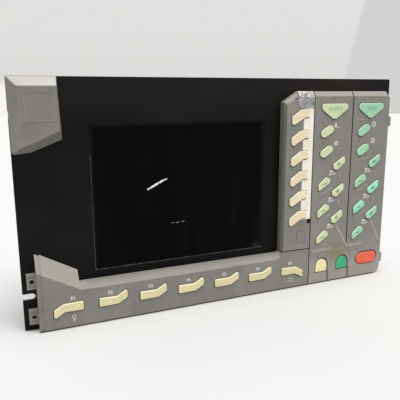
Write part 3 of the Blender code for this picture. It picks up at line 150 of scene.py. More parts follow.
def arc(x, z, radius, start, end, steps=10):
    """Points along an arc, its angles in degrees."""
    return [around(x, z, radius, math.radians(start + (end - start) * i / steps)) for i in range(steps + 1)]


def rectangle(left, right, bottom, top):
    return [(left, bottom), (right, bottom), (right, top), (left, top)]


def offset(outline, distance):
    """A counter-clockwise outline with each side moved inwards, corners mitred."""
    sharpest = 0.5
    count = len(outline)
    result = []
    for i in range(count):
        before = (Vector(outline[i]) - Vector(outline[i - 1])).normalized()
        after = (Vector(outline[(i + 1) % count]) - Vector(outline[i])).normalized()
        inward_before = Vector((-before.y, before.x))
        inward_after = Vector((-after.y, after.x))
        bisector = (inward_before + inward_after).normalized()
        shift = bisector * (distance / max(bisector.dot(inward_before), sharpest))
        result.append((outline[i][0] + shift.x, outline[i][1] + shift.y))
    return result


def rounded(outline, cut, steps=5):
    """The outline with each corner replaced by a short curve, which takes less than half of a side."""
    most = 0.48
    result = []
    count = len(outline)
    for i in range(count):
        corner = Vector(outline[i])
        before, after = Vector(outline[i - 1]) - corner, Vector(outline[(i + 1) % count]) - corner
        start = corner + before.normalized() * min(cut, before.length * most)
        end = corner + after.normalized() * min(cut, after.length * most)
        for step in range(steps + 1):
            s = step / steps
            spot = start * (1 - s) ** 2 + corner * (2 * s * (1 - s)) + end * s ** 2
            result.append((spot.x, spot.y))
    return result


def stroke(points, width):
    """The outline of a line of some width drawn through the points."""
    left, right = [], []
    for i, (x, z) in enumerate(points):
        before = Vector(points[max(i - 1, 0)])
        after = Vector(points[min(i + 1, len(points) - 1)])
        along = (after - before).normalized()
        left.append((x - along.y * width / 2, z + along.x * width / 2))
        right.append((x + along.y * width / 2, z - along.x * width / 2))
    return right + left[::-1]


# Meshes

def placed(name, data):
    """A new object of the scene."""
    made = bpy.data.objects.new(name, data)
    bpy.context.collection.objects.link(made)
    return made


def bridge(bm, first, second):
    """Faces between two loops of equal count."""
    for i in range(len(first)):
        j = (i + 1) % len(first)
        bm.faces.new((first[i], first[j], second[j], second[i]))


def add_body(bm, outlines):
    """A closed body from successive outlines of equal count, each a list of places in the scene."""
    loops = [[bm.verts.new(place) for place in outline] for outline in outlines]
    for first, second in zip(loops, loops[1:]):
        bridge(bm, first, second)
    bm.faces.new(loops[0])
    bm.faces.new(loops[-1])


def add_rings(bm, rings):
    """A body from outlines at successive depths."""
    add_body(bm, [[point(x, z, depth) for x, z in outline] for outline, depth in rings])


def add_plates(bm, back, front, *outlines):
    """Flat bodies that share their depths."""
    for outline in outlines:
        add_rings(bm, [(outline, back), (outline, front)])


def add_slice(bm, profile, left, right):
    """A body of constant side view: its (z, depth) outline drawn out from left to right."""
    add_body(bm, [[point(x, z, depth) for z, depth in profile] for x in (left, right)])


def add_frame(bm, outer, inner, back, front):
    """A flat ring between two outlines of equal count."""
    loops = [[bm.verts.new(point(x, z, depth)) for x, z in outline]
             for outline, depth in ((outer, back), (outer, front), (inner, front), (inner, back))]
    for first, second in zip(loops, loops[1:] + loops[:1]):
        bridge(bm, first, second)


def add_sheet(bm, rows, thickness):
    """A closed sheet from rows of (x, z, depth) places on its front."""
    layers = [[[bm.verts.new(point(x, z, depth - behind)) for x, z, depth in row] for row in rows]
              for behind in (0, thickness)]
    borders = []
    for layer in layers:
        for first, second in zip(layer, layer[1:]):
            for i in range(len(first) - 1):
                bm.faces.new((first[i], first[i + 1], second[i + 1], second[i]))
        right_side = [row[-1] for row in layer[1:-1]]
        left_side = [row[0] for row in layer[-2:0:-1]]
        borders.append(layer[0] + right_side + layer[-1][::-1] + left_side)
    bridge(bm, *borders)


def add_text(bm, text, x, z, size):
    """Plain lettering on the covers' face, its middle at (x, z)."""
    curve = bpy.data.curves.new("lettering", "FONT")
    curve.body = text
    curve.size = size * MM
    curve.extrude = MARK_HEIGHT * MM
    curve.offset = size * 0.02 * MM
    curve.align_x = "CENTER"
    curve.align_y = "CENTER"
    holder = placed("lettering", curve)
    bpy.context.view_layer.update()
    mesh = bpy.data.meshes.new_from_object(holder.evaluated_get(bpy.context.evaluated_depsgraph_get()))
    mesh.transform(Matrix.Translation(point(x, z, COVER_FACE)) @ Matrix.Rotation(math.pi / 2, 4, "X"))
    bm.from_mesh(mesh)
    bpy.data.objects.remove(holder)
    bpy.data.meshes.remove(mesh)


def add_marks(bm, outlines, x, z):
    """Thin marks on the covers' face, drawn round (x, z)."""
    outlines = [moved(outline, x, z) for outline in outlines]
    add_plates(bm, COVER_FACE - ROOT, COVER_FACE + MARK_HEIGHT, *outlines)


def finished(name, bm, finish, smooth=0, body=PANEL):
    """Makes the piece, gives it its finish and sets it on its body. Smooth is an angle in degrees."""
    bmesh.ops.recalc_face_normals(bm, faces=bm.faces)
    mesh = bpy.data.meshes.new(name)
    bm.to_mesh(mesh)
    bm.free()
    if smooth:
        mesh.shade_smooth()
        mesh.set_sharp_from_angle(angle=math.radians(smooth))
    mesh.materials.append(FINISHES[finish])
    piece = placed(name, mesh)
    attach(piece, body)
    return piece


def make_flat(name, finish, back, front, outlines, smooth=0, body=PANEL):
    """A piece made only of flat bodies that share their depths."""
    bm = bmesh.new()
    add_plates(bm, back, front, *outlines)
    finished(name, bm, finish, smooth, body)


# Node trees

class Nodes:
    """A node tree that is built up call by call. Colours have three values."""

    def __init__(self, tree):
        self.tree = tree

    def feed(self, value, socket):
        """Links an output to a socket, or gives the socket a value."""
        if isinstance(value, bpy.types.NodeSocket):
            self.tree.links.new(value, socket)
        elif socket.type == "RGBA":
            socket.default_value = (*value, 1)
        else:
            socket.default_value = value

    def add(self, kind, inputs, **settings):
        node = self.tree.nodes.new(f"ShaderNode{kind}")
        for name, value in settings.items():
            setattr(node, name, value)
        for name, value in inputs.items():
            self.feed(value, node.inputs[name])
        return node

    def ramp(self, factor, low, high, start=0.0, end=1.0, curve="SMOOTHSTEP"):
        """The factor read between low and high, as a value from start to end."""
        inputs = {"Value": factor, "From Min": low, "From Max": high, "To Min": start, "To Max": end}
        return self.add("MapRange", inputs, interpolation_type=curve).outputs["Result"]

    def mix(self, factor, first, second):
        """The first colour where the factor is 0, the second where it is 1."""
        inputs = {"Factor": factor, "A": first, "B": second}
        return self.add("Mix", inputs, data_type="RGBA").outputs["Result"]

    def combine(self, operation, value, *others):
        for other in others:
            value = self.add("Math", {0: value, 1: other}, operation=operation).outputs[0]
        return value

    def part(self, vector, axis):
        return self.add("SeparateXYZ", {0: vector}).outputs[axis]


class Finish(Nodes):
    """A Principled material built up in steps and kept by its name. All patterns are fixed to the piece."""

    def __init__(self, name, color, roughness, metallic=0.0, specular=0.5):
        material = FINISHES[name] = bpy.data.materials.new(name)
        material.use_nodes = True
        super().__init__(material.node_tree)
        self.shader = self.tree.nodes["Principled BSDF"].inputs
        coordinates = self.add("TexCoord", {}).outputs
        self.place = coordinates["Object"]
        self.outward = coordinates["Normal"]
        self.base = self.color = color
        self.normal = None
        for socket, value in (("Base Color", color), ("Roughness", roughness), ("Metallic", metallic),
                              ("Specular IOR Level", specular)):
            self.feed(value, self.shader[socket])

    def stretched(self, x, y, z):
        """The piece's own coordinates, scaled by axis."""
        return self.add("Mapping", {"Vector": self.place, "Scale": (x, y, z)}).outputs["Vector"]

    def noise(self, scale, detail, rough=0.55, place=None, distortion=0.0):
        inputs = {"Vector": place or self.place, "Scale": scale, "Detail": detail, "Roughness": rough,
                  "Distortion": distortion}
        return self.add("TexNoise", inputs).outputs["Fac"]

    def patches(self, scale, detail, low, high, most=1.0, least=0.0, **pattern):
        """Patches of noise: least below its low level, most above its high one."""
        return self.ramp(self.noise(scale, detail, **pattern), low, high, least, most)

    def cells(self, scale, output="Distance"):
        return self.add("TexVoronoi", {"Vector": self.place, "Scale": scale}).outputs[output]

    def times(self, *factors):
        return self.combine("MULTIPLY", *factors)

    def between(self, axis, first, second, start=0.0, end=1.0):
        """Start at the first place on an axis, end at the second, both places in the script's millimetres."""
        zero = ORIGIN["XYZ".index(axis)]
        unit = -MM if axis == "Y" else MM
        return self.ramp(self.part(self.place, axis), zero + first * unit, zero + second * unit, start, end)

    def facing(self, axis, low, high, most=1.0):
        """0 where the surface turns towards an axis by the low share, most where it turns by the high one."""
        return self.ramp(self.part(self.outward, axis), low, high, 0.0, most)

    def near(self, spot, inner, outer):
        """1 within an inner distance of a spot, 0 past the outer one, both in millimetres."""
        away = self.add("VectorMath", {0: self.place, 1: spot}, operation="DISTANCE")
        return self.ramp(away.outputs["Value"], inner * MM, outer * MM, 1.0, 0.0)

    def paint(self, color, *factors):
        """Blends in a colour, or the first colour times a number, where all the factors are high."""
        if isinstance(color, float):
            color = [min(c * color, 1) for c in self.base]
        self.color = self.mix(self.times(*factors), self.color, color)
        self.feed(self.color, self.shader["Base Color"])

    def blotch(self, color, *pattern, **more):
        self.paint(color, self.patches(*pattern, **more))

    def dust(self, color, most):
        """Pale dust on the faces that look up."""
        lying = self.facing("Z", 0.15, 0.8, most)
        self.paint(color, lying, self.patches(55, 5, 0.25, 0.6, 1.0, 0.7, rough=0.65))

    def stain(self, x, z, reach, color):
        """A patchy stain round a spot on the covers' face."""
        near = self.near(point(x, z, COVER_FACE), 0, reach)
        self.paint(color, near, self.patches(45, 3, 0.3, 0.7, 0.9, 0.35))

    def rough(self, pattern, low, high):
        self.feed(self.ramp(pattern, 0.3, 0.7, low, high), self.shader["Roughness"])

    def sheen(self, scale, detail, low, high, *pattern):
        """Roughness that wanders between two values."""
        self.rough(self.noise(scale, detail, *pattern), low, high)

    def bump(self, height, distance):
        """Relief on top of any relief made before, its distance in millimetres."""
        inputs = {"Height": height, "Distance": distance * MM}
        if self.normal:
            inputs["Normal"] = self.normal
        self.normal = self.add("Bump", inputs).outputs["Normal"]
        self.feed(self.normal, self.shader["Normal"])

    def grain(self, scale, detail, height, *pattern):
        self.bump(self.noise(scale, detail, *pattern), height)


# Finishes of the plate, the window and the covers

MOULDING = (0.215, 0.203, 0.186)


def moulding(name, dust, tint=1.0):
    """Grained grey moulding with smudges, dust on its upper faces and painted shade on its lower ones."""
    made = Finish(name, [c * tint for c in MOULDING], 0.5, specular=0.4)
    made.blotch(1.16, 14, 2, 0.45, 0.75)
    made.blotch(0.84, 38, 6, 0.52, 0.74, rough=0.65, distortion=0.6)
    made.blotch(0.72, 160, 5, 0.64, 0.76, rough=0.7)
    made.blotch(1.3, 900, 2, 0.66, 0.8, 0.5)
    made.blotch(1.7, 640, 3, 0.70, 0.78, 0.35, rough=0.6)
    made.dust((0.40, 0.385, 0.355), dust)
    # Painted shade: faces that look down are darkened.
    made.paint(0.78, made.facing("Z", -0.15, -0.6))
    made.sheen(60, 4, 0.42, 0.62)
    made.grain(2600, 2, 0.035, 0.5)
    made.grain(420, 2, 0.02, 0.5)
    return made


def key_cover_finish():
    """Paler towards the bottom as painted light bounced up from the floor, stained yellow above the lower
    keys and brown at its upper left.
    """
    made = moulding("cover_grey", 0.85, 1.09)
    # Painted light: the lower part is lightened as if lit from the floor.
    made.paint(1.42, made.between("Z", 42, 22))
    x, z = centre("start_key")
    made.stain(x - 11, z + 13, 24, (0.24, 0.205, 0.105))
    made.stain(COVER.left + 5, COVER.top - 16, 20, (0.27, 0.238, 0.19))


def function_bezel_finish():
    """Dustier and paler on its wedge as dust and a painted highlight, and painted shade in the angle above
    its long slope.
    """
    made = moulding("bezel_grey", 0.8, 1.03)
    wedge_end = 60
    wedge = made.between("X", wedge_end - 4, wedge_end + 8, 1.0, 0.0)
    # Dust and a painted highlight on the wedge's upward faces.
    made.paint((0.345, 0.33, 0.30), wedge, made.facing("Z", 0.1, 0.5))
    high = made.between("Z", 44.8, 46.5, 0.0, 0.5)
    # Painted shade: the clean, slightly darker colour comes back in the angle above the slope.
    made.paint(0.98, high, made.between("X", wedge_end + 4, wedge_end + 10))


def softkey_bezel_finish():
    """No dust, painted shade on the faces that look up and on its left wall, painted shade on the facet
    between this wall and the top with a painted highlight on its outer part, and a brown stain.
    """
    made = moulding("softkey_bezel_grey", 0.0, 1.07)
    # Painted shade on the faces that look up and on the left wall.
    made.paint(0.88, made.facing("Z", 0.2, 0.6))
    made.paint(0.82, made.facing("X", -0.5, -0.9))
    facet = made.times(made.facing("Z", 0.2, 0.35), made.facing("X", -0.12, -0.3))
    # Painted shade over the whole facet, then a painted highlight towards its outer edge.
    made.paint(0.66, facet)
    made.paint(1.28, facet, made.between("Y", COVER_FACE - 1.4, COVER_FACE - 3.8))
    made.stain(BEZEL.right - 29, BEZEL.top - 20, 22, (0.275, 0.245, 0.20))


def cap_finish():
    """Thick dust on its top, made paler still as a painted highlight."""
    made = moulding("cap_grey", 1.0)
    # Dust and a painted highlight on the faces that look up.
    made.dust((0.47, 0.455, 0.43), 0.8)


def cover_edge_finish():
    """The same moulding on its rounded edges, polished and paled by handling and by a painted highlight."""
    made = Finish("cover_edge", (0.285, 0.27, 0.25), 0.40, specular=0.45)
    made.blotch(1.22, 70, 5, 0.5, 0.7, rough=0.7)
    made.blotch(0.8, 25, 4, 0.5, 0.75)
    made.dust((0.42, 0.40, 0.37), 0.7)
    made.sheen(90, 3, 0.34, 0.55)
    made.grain(1400, 2, 0.02)


def ridge_finish():
    """The cover's moulding, paler on the crests of its ridges as rubbed wear and a painted highlight."""
    made = Finish("ridge_grey", MOULDING, 0.46, specular=0.4)
    crest = made.between("Y", COVER_FACE, COVER_FACE + 0.3)
    # Painted highlight and wear on the crests.
    made.paint((0.36, 0.345, 0.32), crest, made.patches(70, 4, 0.25, 0.6, 1.0, 0.45, rough=0.6))
    made.grain(900, 2, 0.02)


def plate_finish():
    """Satin black paint with orange peel and dust specks, with a painted reflection that pales it near its
    top and browns it at its upper right.
    """
    made = Finish("plate_black", (0.0040, 0.0037, 0.0036), 0.42, specular=0.10)
    made.blotch((0.0085, 0.0080, 0.0080), 9, 3, 0.42, 0.72)
    # Painted reflection: paler near the top.
    made.paint((0.0135, 0.0132, 0.0132), made.between("Z", 205, 250, 0.0, 0.6))
    plate = extent("front_plate")
    # Painted reflection: brown at the upper right.
    brown_reflection = made.near(point(plate.right - 95, plate.top - 3, plate.front), 5, 95)
    made.paint((0.0250, 0.0165, 0.0145), brown_reflection, made.patches(40, 4, 0.3, 0.7, 1.0, 0.3))
    made.blotch((0.10, 0.098, 0.095), 520, 2, 0.76, 0.84, 0.6, rough=0.4)
    made.dust((0.05, 0.048, 0.045), 0.5)
    made.sheen(24, 5, 0.32, 0.52, 0.6)
    made.grain(700, 2, 0.02)


def window_finish():
    """Smoked glossy filter with wiping marks, a soft pale border, crumbs in a corner and a little dust."""
    made = Finish("window_black", (0.0017, 0.0018, 0.0017), 0.12, specular=0.03)
    wiped = made.noise(30, 4, 0.6, made.stretched(1.0, 1.0, 0.25), 0.8)
    made.paint((0.0034, 0.0038, 0.0035), made.ramp(wiped, 0.5, 0.75))
    inside = made.times(made.between("X", GLASS.left, GLASS.left + 5),
                        made.between("X", GLASS.right, GLASS.right - 7),
                        made.between("Z", GLASS.bottom, GLASS.bottom + 2),
                        made.between("Z", GLASS.top, GLASS.top - 6))
    made.paint((0.0090, 0.0087, 0.0085), made.ramp(inside, 0.0, 0.9, 0.85, 0.0))
    corner = made.near(point(GLASS.right - 8, GLASS.bottom + 1, GLASS.front), 1, 11)
    made.paint((0.22, 0.22, 0.21), corner, made.patches(1500, 4, 0.56, 0.66, rough=0.75))
    made.blotch((0.05, 0.05, 0.055), 900, 2, 0.8, 0.86, 0.4, rough=0.4)
    made.rough(wiped, 0.08, 0.2)
    made.grain(300, 1, 0.004)


def window_edge_finish():
    """Pale edge of the window's opening: a painted highlight, dusty and chipped."""
    made = Finish("window_edge", (0.055, 0.053, 0.05), 0.5, specular=0.3)
    # Painted highlight: pale patches along the edge.
    made.blotch(3.6, 420, 5, 0.5, 0.62, rough=0.7)
    made.blotch(0.15, 60, 4, 0.5, 0.68, rough=0.6)
    made.grain(1200, 3, 0.03)


# Finishes of the keys and of what lies on the covers

def key_finish(name, color, rim):
    """Satin key plastic: a painted highlight on its rim, painted shade below the covers' face, dirt and
    slight fading.
    """
    made = Finish(name, color, 0.42, specular=0.42)
    made.blotch(1.10, 60, 3, 0.45, 0.7)
    made.blotch(0.90, 220, 5, 0.52, 0.72, rough=0.65)
    made.blotch((0.13, 0.11, 0.075), 700, 4, 0.68, 0.82, 0.4, rough=0.7)
    # Painted highlight on the rounded rim; rim sets how strong the paler part is.
    made.paint(1.4, made.facing("Y", -0.985, -0.80, 0.9))
    made.paint((0.90, 0.90, 0.80), made.facing("Y", -0.97, -0.75, rim))
    # Painted shade on what lies below the covers' face.
    made.paint(0.16, made.between("Y", COVER_FACE - 0.2, COVER_FACE - 1.4))
    made.sheen(150, 4, 0.34, 0.5)
    made.grain(1800, 2, 0.02)


def label_finish():
    """Off-white card strip, a little yellowed, with fibre."""
    made = Finish("label_white", (0.93, 0.89, 0.79), 0.7, specular=0.25)
    made.blotch((0.78, 0.70, 0.55), 70, 5, 0.5, 0.72, 0.7, rough=0.6)
    made.blotch((0.42, 0.37, 0.28), 420, 5, 0.68, 0.8, 0.5, rough=0.7)
    made.grain(1200, 4, 0.03, 0.6, made.stretched(1, 1, 0.3))


def mark_finish(name, color, worn):
    """Printed ink, rubbed thin in places. The same flat finish also gives the painted shade lines and the
    painted glints.
    """
    made = Finish(name, color, 0.55, specular=0.3)
    made.blotch(0.55, 500, 4, 0.42, 0.66, worn, rough=0.7)
    made.grain(1600, 2, 0.01)


def foil_finish():
    """Crumpled metal tape, partly tarnished."""
    made = Finish("foil_silver", (0.42, 0.415, 0.42), 0.45, 0.9)
    made.blotch((0.26, 0.255, 0.26), 150, 4, 0.48, 0.68, rough=0.6)
    made.sheen(220, 4, 0.42, 0.68)
    made.grain(260, 3, 0.1, 0.55)


def lamp_finish():
    """Unlit lamp lens, dark red brown."""
    made = Finish("lamp_lens", (0.050, 0.018, 0.014), 0.28, specular=0.5)
    made.blotch(1.9, 900, 2, 0.5, 0.75)
    made.sheen(700, 2, 0.2, 0.4)
    made.grain(1800, 2, 0.01)


def dark_finish():
    """Unlit holes and slots."""
    made = Finish("dark_hole", (0.010, 0.009, 0.008), 0.8, specular=0.1)
    made.blotch(1.8, 600, 3, 0.5, 0.8)
    made.grain(900, 2, 0.02)


# Finishes of the inside and the rear

def zinc_finish():
    """Zinc plated sheet with spangle and rolling marks."""
    made = Finish("zinc_sheet", (0.46, 0.46, 0.445), 0.58, 0.4)
    made.paint(0.89, made.ramp(made.cells(210, "Color"), 0.2, 0.9, 0.0, 0.8))
    made.blotch(1.1, 10, 3, 0.45, 0.75)
    made.blotch((0.36, 0.33, 0.29), 45, 6, 0.64, 0.8, 0.5, rough=0.7)
    rolled = made.noise(260, 3, 0.6, made.stretched(1, 0.08, 0.08))
    made.rough(rolled, 0.5, 0.68)
    made.bump(rolled, 0.012)


def steel_finish():
    """Bright plated steel with a fine turned grain."""
    made = Finish("steel_bright", (0.55, 0.55, 0.56), 0.28, 1.0)
    made.blotch(0.72, 320, 4, 0.5, 0.75, rough=0.6)
    made.sheen(500, 3, 0.22, 0.4)
    made.grain(900, 2, 0.008, 0.5, made.stretched(1, 0.1, 1))


def case_finish():
    """Bare folded aluminium case with a brushed grain."""
    made = Finish("supply_case", (0.60, 0.60, 0.60), 0.38, 1.0)
    brushed = made.noise(900, 3, 0.6, made.stretched(0.04, 1, 1))
    made.paint(0.82, made.ramp(brushed, 0.4, 0.7))
    made.rough(brushed, 0.3, 0.46)
    made.bump(brushed, 0.01)


def board_finish(name, color, copper):
    """Lacquered circuit board with tracks and pads."""
    made = Finish(name, color, 0.4)
    upright = made.add("Mapping", {"Vector": made.place, "Rotation": (math.pi / 2, 0, 0)})
    tracks = made.add("TexBrick",
                      {"Vector": upright.outputs["Vector"], "Scale": 300, "Mortar Size": 0.02})
    made.paint(copper, made.ramp(tracks.outputs["Fac"], 0.3, 0.9, 0.0, 0.8))
    pads = made.cells(420)
    made.paint((0.55, 0.52, 0.42), made.ramp(pads, 0.10, 0.16, 0.7, 0.0))
    made.blotch(0.7, 40, 4, 0.5, 0.75)
    made.sheen(80, 3, 0.32, 0.5)
    made.bump(pads, 0.03)


def rubber_finish():
    made = Finish("rubber_grey", (0.12, 0.12, 0.12), 0.78, specular=0.3)
    made.blotch(1.35, 90, 4, 0.5, 0.75)
    made.grain(1500, 3, 0.03)


def glass_finish():
    made = Finish("display_glass", (0.02, 0.02, 0.025), 0.14)
    made.blotch(1.5, 20, 4, 0.5, 0.75)
    made.sheen(60, 3, 0.1, 0.2)
    made.grain(200, 1, 0.004)


def ribbon_finish():
    """Flat cable: ribbed along its run by its conductors."""
    made = Finish("ribbon_grey", (0.45, 0.45, 0.47), 0.5)
    wave = made.add("TexWave", {"Vector": made.place, "Scale": 125}, bands_direction="Z")
    made.paint(0.66, made.ramp(wave.outputs["Fac"], 0.2, 0.8))
    made.bump(wave.outputs["Fac"], 0.25)


def terminal_finish():
    made = Finish("terminal_green", (0.03, 0.25, 0.08), 0.45)
    made.blotch(1.3, 120, 3, 0.45, 0.7)
    made.grain(1500, 2, 0.02)


def make_finishes():
    for make in (key_cover_finish, function_bezel_finish, softkey_bezel_finish, cap_finish, cover_edge_finish,
                 ridge_finish, plate_finish, window_finish, window_edge_finish, label_finish, foil_finish,
                 lamp_finish, dark_finish, zinc_finish, steel_finish, case_finish, rubber_finish,
                 glass_finish, ribbon_finish, terminal_finish, floor_finish):
        make()
    board_finish("board_green", (0.02, 0.14, 0.06), (0.05, 0.24, 0.10))
    board_finish("board_blue", (0.02, 0.06, 0.20), (0.05, 0.12, 0.30))
    # Inks, and flat colours for the painted shade lines, the painted shade in the keys' openings and the
    # painted glints.
    marks = (("shade_line", (0.075, 0.066, 0.058), 0.3), ("key_gap_shade", (0.045, 0.043, 0.034), 0.4),
             ("dull_glint", (0.22, 0.24, 0.25), 0.5), ("glint", (0.80, 0.88, 0.92), 0.15),
             ("white_ink", (0.86, 0.85, 0.82), 0.25), ("worn_ink", (0.74, 0.73, 0.69), 0.5),
             ("faint_white", (0.36, 0.35, 0.33), 0.5), ("manual_ink", (0.21, 0.28, 0.15), 0.3),
             ("auto_ink", (0.10, 0.31, 0.185), 0.3), ("manual_faint", (0.30, 0.38, 0.20), 0.6),
             ("auto_faint", (0.14, 0.34, 0.21), 0.6), ("stop_faint", (0.80, 0.30, 0.20), 0.5),
             ("cover_shadow", (0.12, 0.115, 0.105), 0.3))
    for name, color, worn in marks:
        mark_finish(name, color, worn)
    # Key colours; the third value sets the strength of the painted highlight on each rim.
    keys = (("key_cream", (0.84, 0.72, 0.50), 0.35), ("key_ivory", (0.92, 0.79, 0.46), 0.35),
            ("key_straw", (0.75, 0.67, 0.39), 0.4), ("key_pale_green", (0.61, 0.71, 0.43), 0.5),
            ("key_mint", (0.34, 0.65, 0.42), 0.5), ("key_turquoise", (0.30, 0.76, 0.56), 0.45),
            ("key_green", (0.050, 0.43, 0.20), 0.04), ("key_red", (0.86, 0.125, 0.058), 0.04))
    for name, color, rim in keys:
        key_finish(name, color, rim)


# CAD nodes that stay

def soften(node, width, segments=2, clamp=True, worn=None):
    """Rounds a CAD node's edges by modifiers only. Worn is a paler finish for the rounded edges, which gives
    wear and a painted highlight.
    """
    piece = frame["nodes"][node]
    weld = piece.modifiers.new("weld", "WELD")
    weld.merge_threshold = TOLERANCE
    flat = piece.modifiers.new("flat", "DECIMATE")
    flat.decimate_type = "DISSOLVE"
    flat.angle_limit = math.radians(0.5)
    bevel = piece.modifiers.new("bevel", "BEVEL")
    bevel.width = width * MM
    bevel.segments = segments
    bevel.limit_method = "ANGLE"
    bevel.angle_limit = math.radians(28)
    bevel.use_clamp_overlap = clamp
    bevel.harden_normals = True
    if worn:
        piece.data.materials.append(FINISHES[worn])
        bevel.material = len(piece.data.materials) - 1


def dress_frame():
    """Gives the CAD nodes other than keys their finish, and softens the edges of those that show."""
    for node, slot in SLOTS.items():
        if node not in KEYS:
            materials = frame["nodes"][node].data.materials
            materials.clear()
            materials.append(FINISHES[OWN_LOOKS.get(node, slot)])
    soften("corner_cap", 0.9, segments=3, clamp=False)
    soften("softkey_bezel", 0.45)
    for node in ("function_key_bezel", "machine_key_cover"):
        # The paler finish on these rounded edges is wear and a painted highlight.
        soften(node, 0.45, worn="cover_edge")
    soften("front_plate", 0.25)
    soften("rear_chassis", 0.3)
    soften("rear_cover", 0.25)


# Keys

def cap_loop(node):
    """The key's top outline in order, counter-clockwise, at its full width."""
    mesh = frame["nodes"][node].data
    front = min(v.co.y for v in mesh.vertices)
    sides = set()
    for polygon in mesh.polygons:
        corners = [mesh.vertices[i].co for i in polygon.vertices]
        if max(c.y for c in corners) > front + TOLERANCE:
            continue
        spots = [(round((c.x - ORIGIN.x) / MM, 3), round(c.z / MM, 3)) for c in corners]
        for side in zip(spots, spots[1:] + spots[:1]):
            if side[::-1] in sides:
                sides.remove(side[::-1])
            else:
                sides.add(side)
    following = dict(sides)
    spot = min(following)
    loop = []
    while spot not in loop:
        loop.append(spot)
        spot = following[spot]
    area = sum(a[0] * b[1] - b[0] * a[1] for a, b in zip(loop, loop[1:] + loop[:1]))
    if area < 0:
        loop.reverse()
    return offset(loop, -KEY_EDGE)


def nicked(loop):
    """The loop with a small piece broken out of its right end."""
    bite, lean, starts_at, ends_at = 1.7, 0.5, 0.3, 0.68
    near, shortest = 0.3, 2
    right = max(x for x, z in loop)
    for i, (x, z) in enumerate(loop):
        end_x, end_z = loop[(i + 1) % len(loop)]
        length = end_z - z
        if min(x, end_x) > right - near and length > shortest:
            low, high = z + length * starts_at, z + length * ends_at
            nick = [(right, low), (right - bite, (low + high) / 2 + lean), (right, high)]
            return loop[:i + 1] + nick + loop[i + 1:]
    return loop


def make_key(node):
    """A key cap with a rounded edge and rounded corners, over its flange and plunger."""
    flange_reach, flange_thickness, flange_below_face = 1.3, 1.2, 2.7
    plunger_radius, overlap, curve_steps = 2.2, 0.2, 5
    key = extent(node)
    loop, cut = cap_loop(node), CORNER_CUT
    flange = rounded(offset(loop, -flange_reach), cut)
    if node == FUNCTION_KEYS[-1]:
        loop, cut = nicked(loop), 0.5
        flange = rounded(offset(loop, 0.1), 0.4)
    seat = COVER_FACE - flange_below_face
    rings = [(flange, seat - flange_thickness), (flange, seat), (rounded(loop, cut), seat)]
    for i in range(curve_steps + 1):
        angle = math.pi / 2 * i / curve_steps
        ring = rounded(offset(loop, KEY_ROUND * (1 - math.cos(angle))), cut)
        rings.append((ring, key.front - TOP_INSET - KEY_ROUND * (1 - math.sin(angle))))
    bm = bmesh.new()
    add_rings(bm, rings)
    plunger = circle(*key_stem(node), plunger_radius)
    add_plates(bm, key.back, seat - flange_thickness + overlap, plunger)
    slot = SLOTS[node]
    cap = finished(f"{node}_cap", bm, OWN_LOOKS.get(node, slot), 40, f"{node}_body")
    normals = cap.modifiers.new("normals", "WEIGHTED_NORMAL")
    normals.keep_sharp = True
    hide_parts(node)


def make_keys():
    for node in KEYS:
        make_key(node)


# Marks on the keys, each drawn round the key's middle

def key_marks(node, outlines, finish):
    """Ink on top of one key, which moves with it."""
    depth = 0.2
    top = extent(node).front - TOP_INSET
    outlines = [moved(outline, *centre(node)) for outline in outlines]
    make_flat(f"{node}_mark", finish, top - depth, top + MARK_HEIGHT, outlines,
              body=f"{node}_body")


def plus_sign():
    return [stroke([(-4.0, -1.5), (2.0, -0.3)], 1.1), stroke([(-1.0, -3.9), (-1.0, 2.1)], 1.1)]


def minus_sign():
    return [stroke([(-2.7, -1.0), (-0.4, 0.2), (2.6, 0.5)], 1.35)]


def row_of_bars(count):
    """Slanted bars in a row, where a word could stand."""
    pitch, width = 3.1, 1.0
    middles = [(i - (count - 1) / 2) * pitch for i in range(count)]
    return [stroke([(x - 0.4, 0.4), (x + 0.4, 5.6)], width) for x in middles]


def make_key_marks():
    """Plus and minus signs, a worn row of bars on the two mode keys and an open ring on the stop key."""
    for column, bars in zip(COLUMNS, (7, 5)):
        ink = f"{column}_ink"
        for number in (1, 2, 3):
            key_marks(f"{column}_plus_key_{number}", plus_sign(), ink)
            key_marks(f"{column}_minus_key_{number}", minus_sign(), ink)
        key_marks(f"{column}_mode_key", row_of_bars(bars), f"{column}_faint")
    key_marks("stop_key", [stroke(arc(0, 0, 2.6, 30, 330, 16), 0.55)], "stop_faint")


# Marks, lamps and relief on the covers. Signs are drawn round (0, 0)

def lamp_sign():
    return [stroke(arc(0, 0, 1.9, 20, 340), 0.6), stroke([(0, -1.9), (0, -5.6)], 0.8),
            stroke([(-1.7, -3.6), (1.7, -3.2)], 0.6)]


def loop_sign():
    half_width, half_height = 3.6, 2.3
    return [stroke([(half_width * x, half_height * z) for x, z in arc(0, 0, 1, 200, 500, 15)], 0.5)]


def drop_sign():
    return [[(-1.4, -1.8), (1.2, -1.8), (1.7, 0.3), (0.5, 4.6), (-1.3, 0.6)],
            stroke([(2.1, -2.6), (7.2, -2.4)], 0.55)]


def sun_sign():
    rays, tilt = 6, 0.3
    marks = [stroke(arc(0, 0, 1.5, 0, 350, 12), 0.9)]
    for i in range(rays):
        angle = math.tau * i / rays + tilt
        reach = 4.8 if i == 0 else 3.6
        marks.append(stroke([around(0, 0, 2.2, angle), around(0, 0, reach, angle)], 0.8))
    return marks


def turn_sign():
    return [stroke(arc(0.4, 0, 2.9, -135, 125, 16), 1.05), stroke([(-3.2, 0.5), (0.9, 0.7)], 0.8),
            stroke([(-2.8, -1.4), (-0.6, -1.1)], 0.75)]


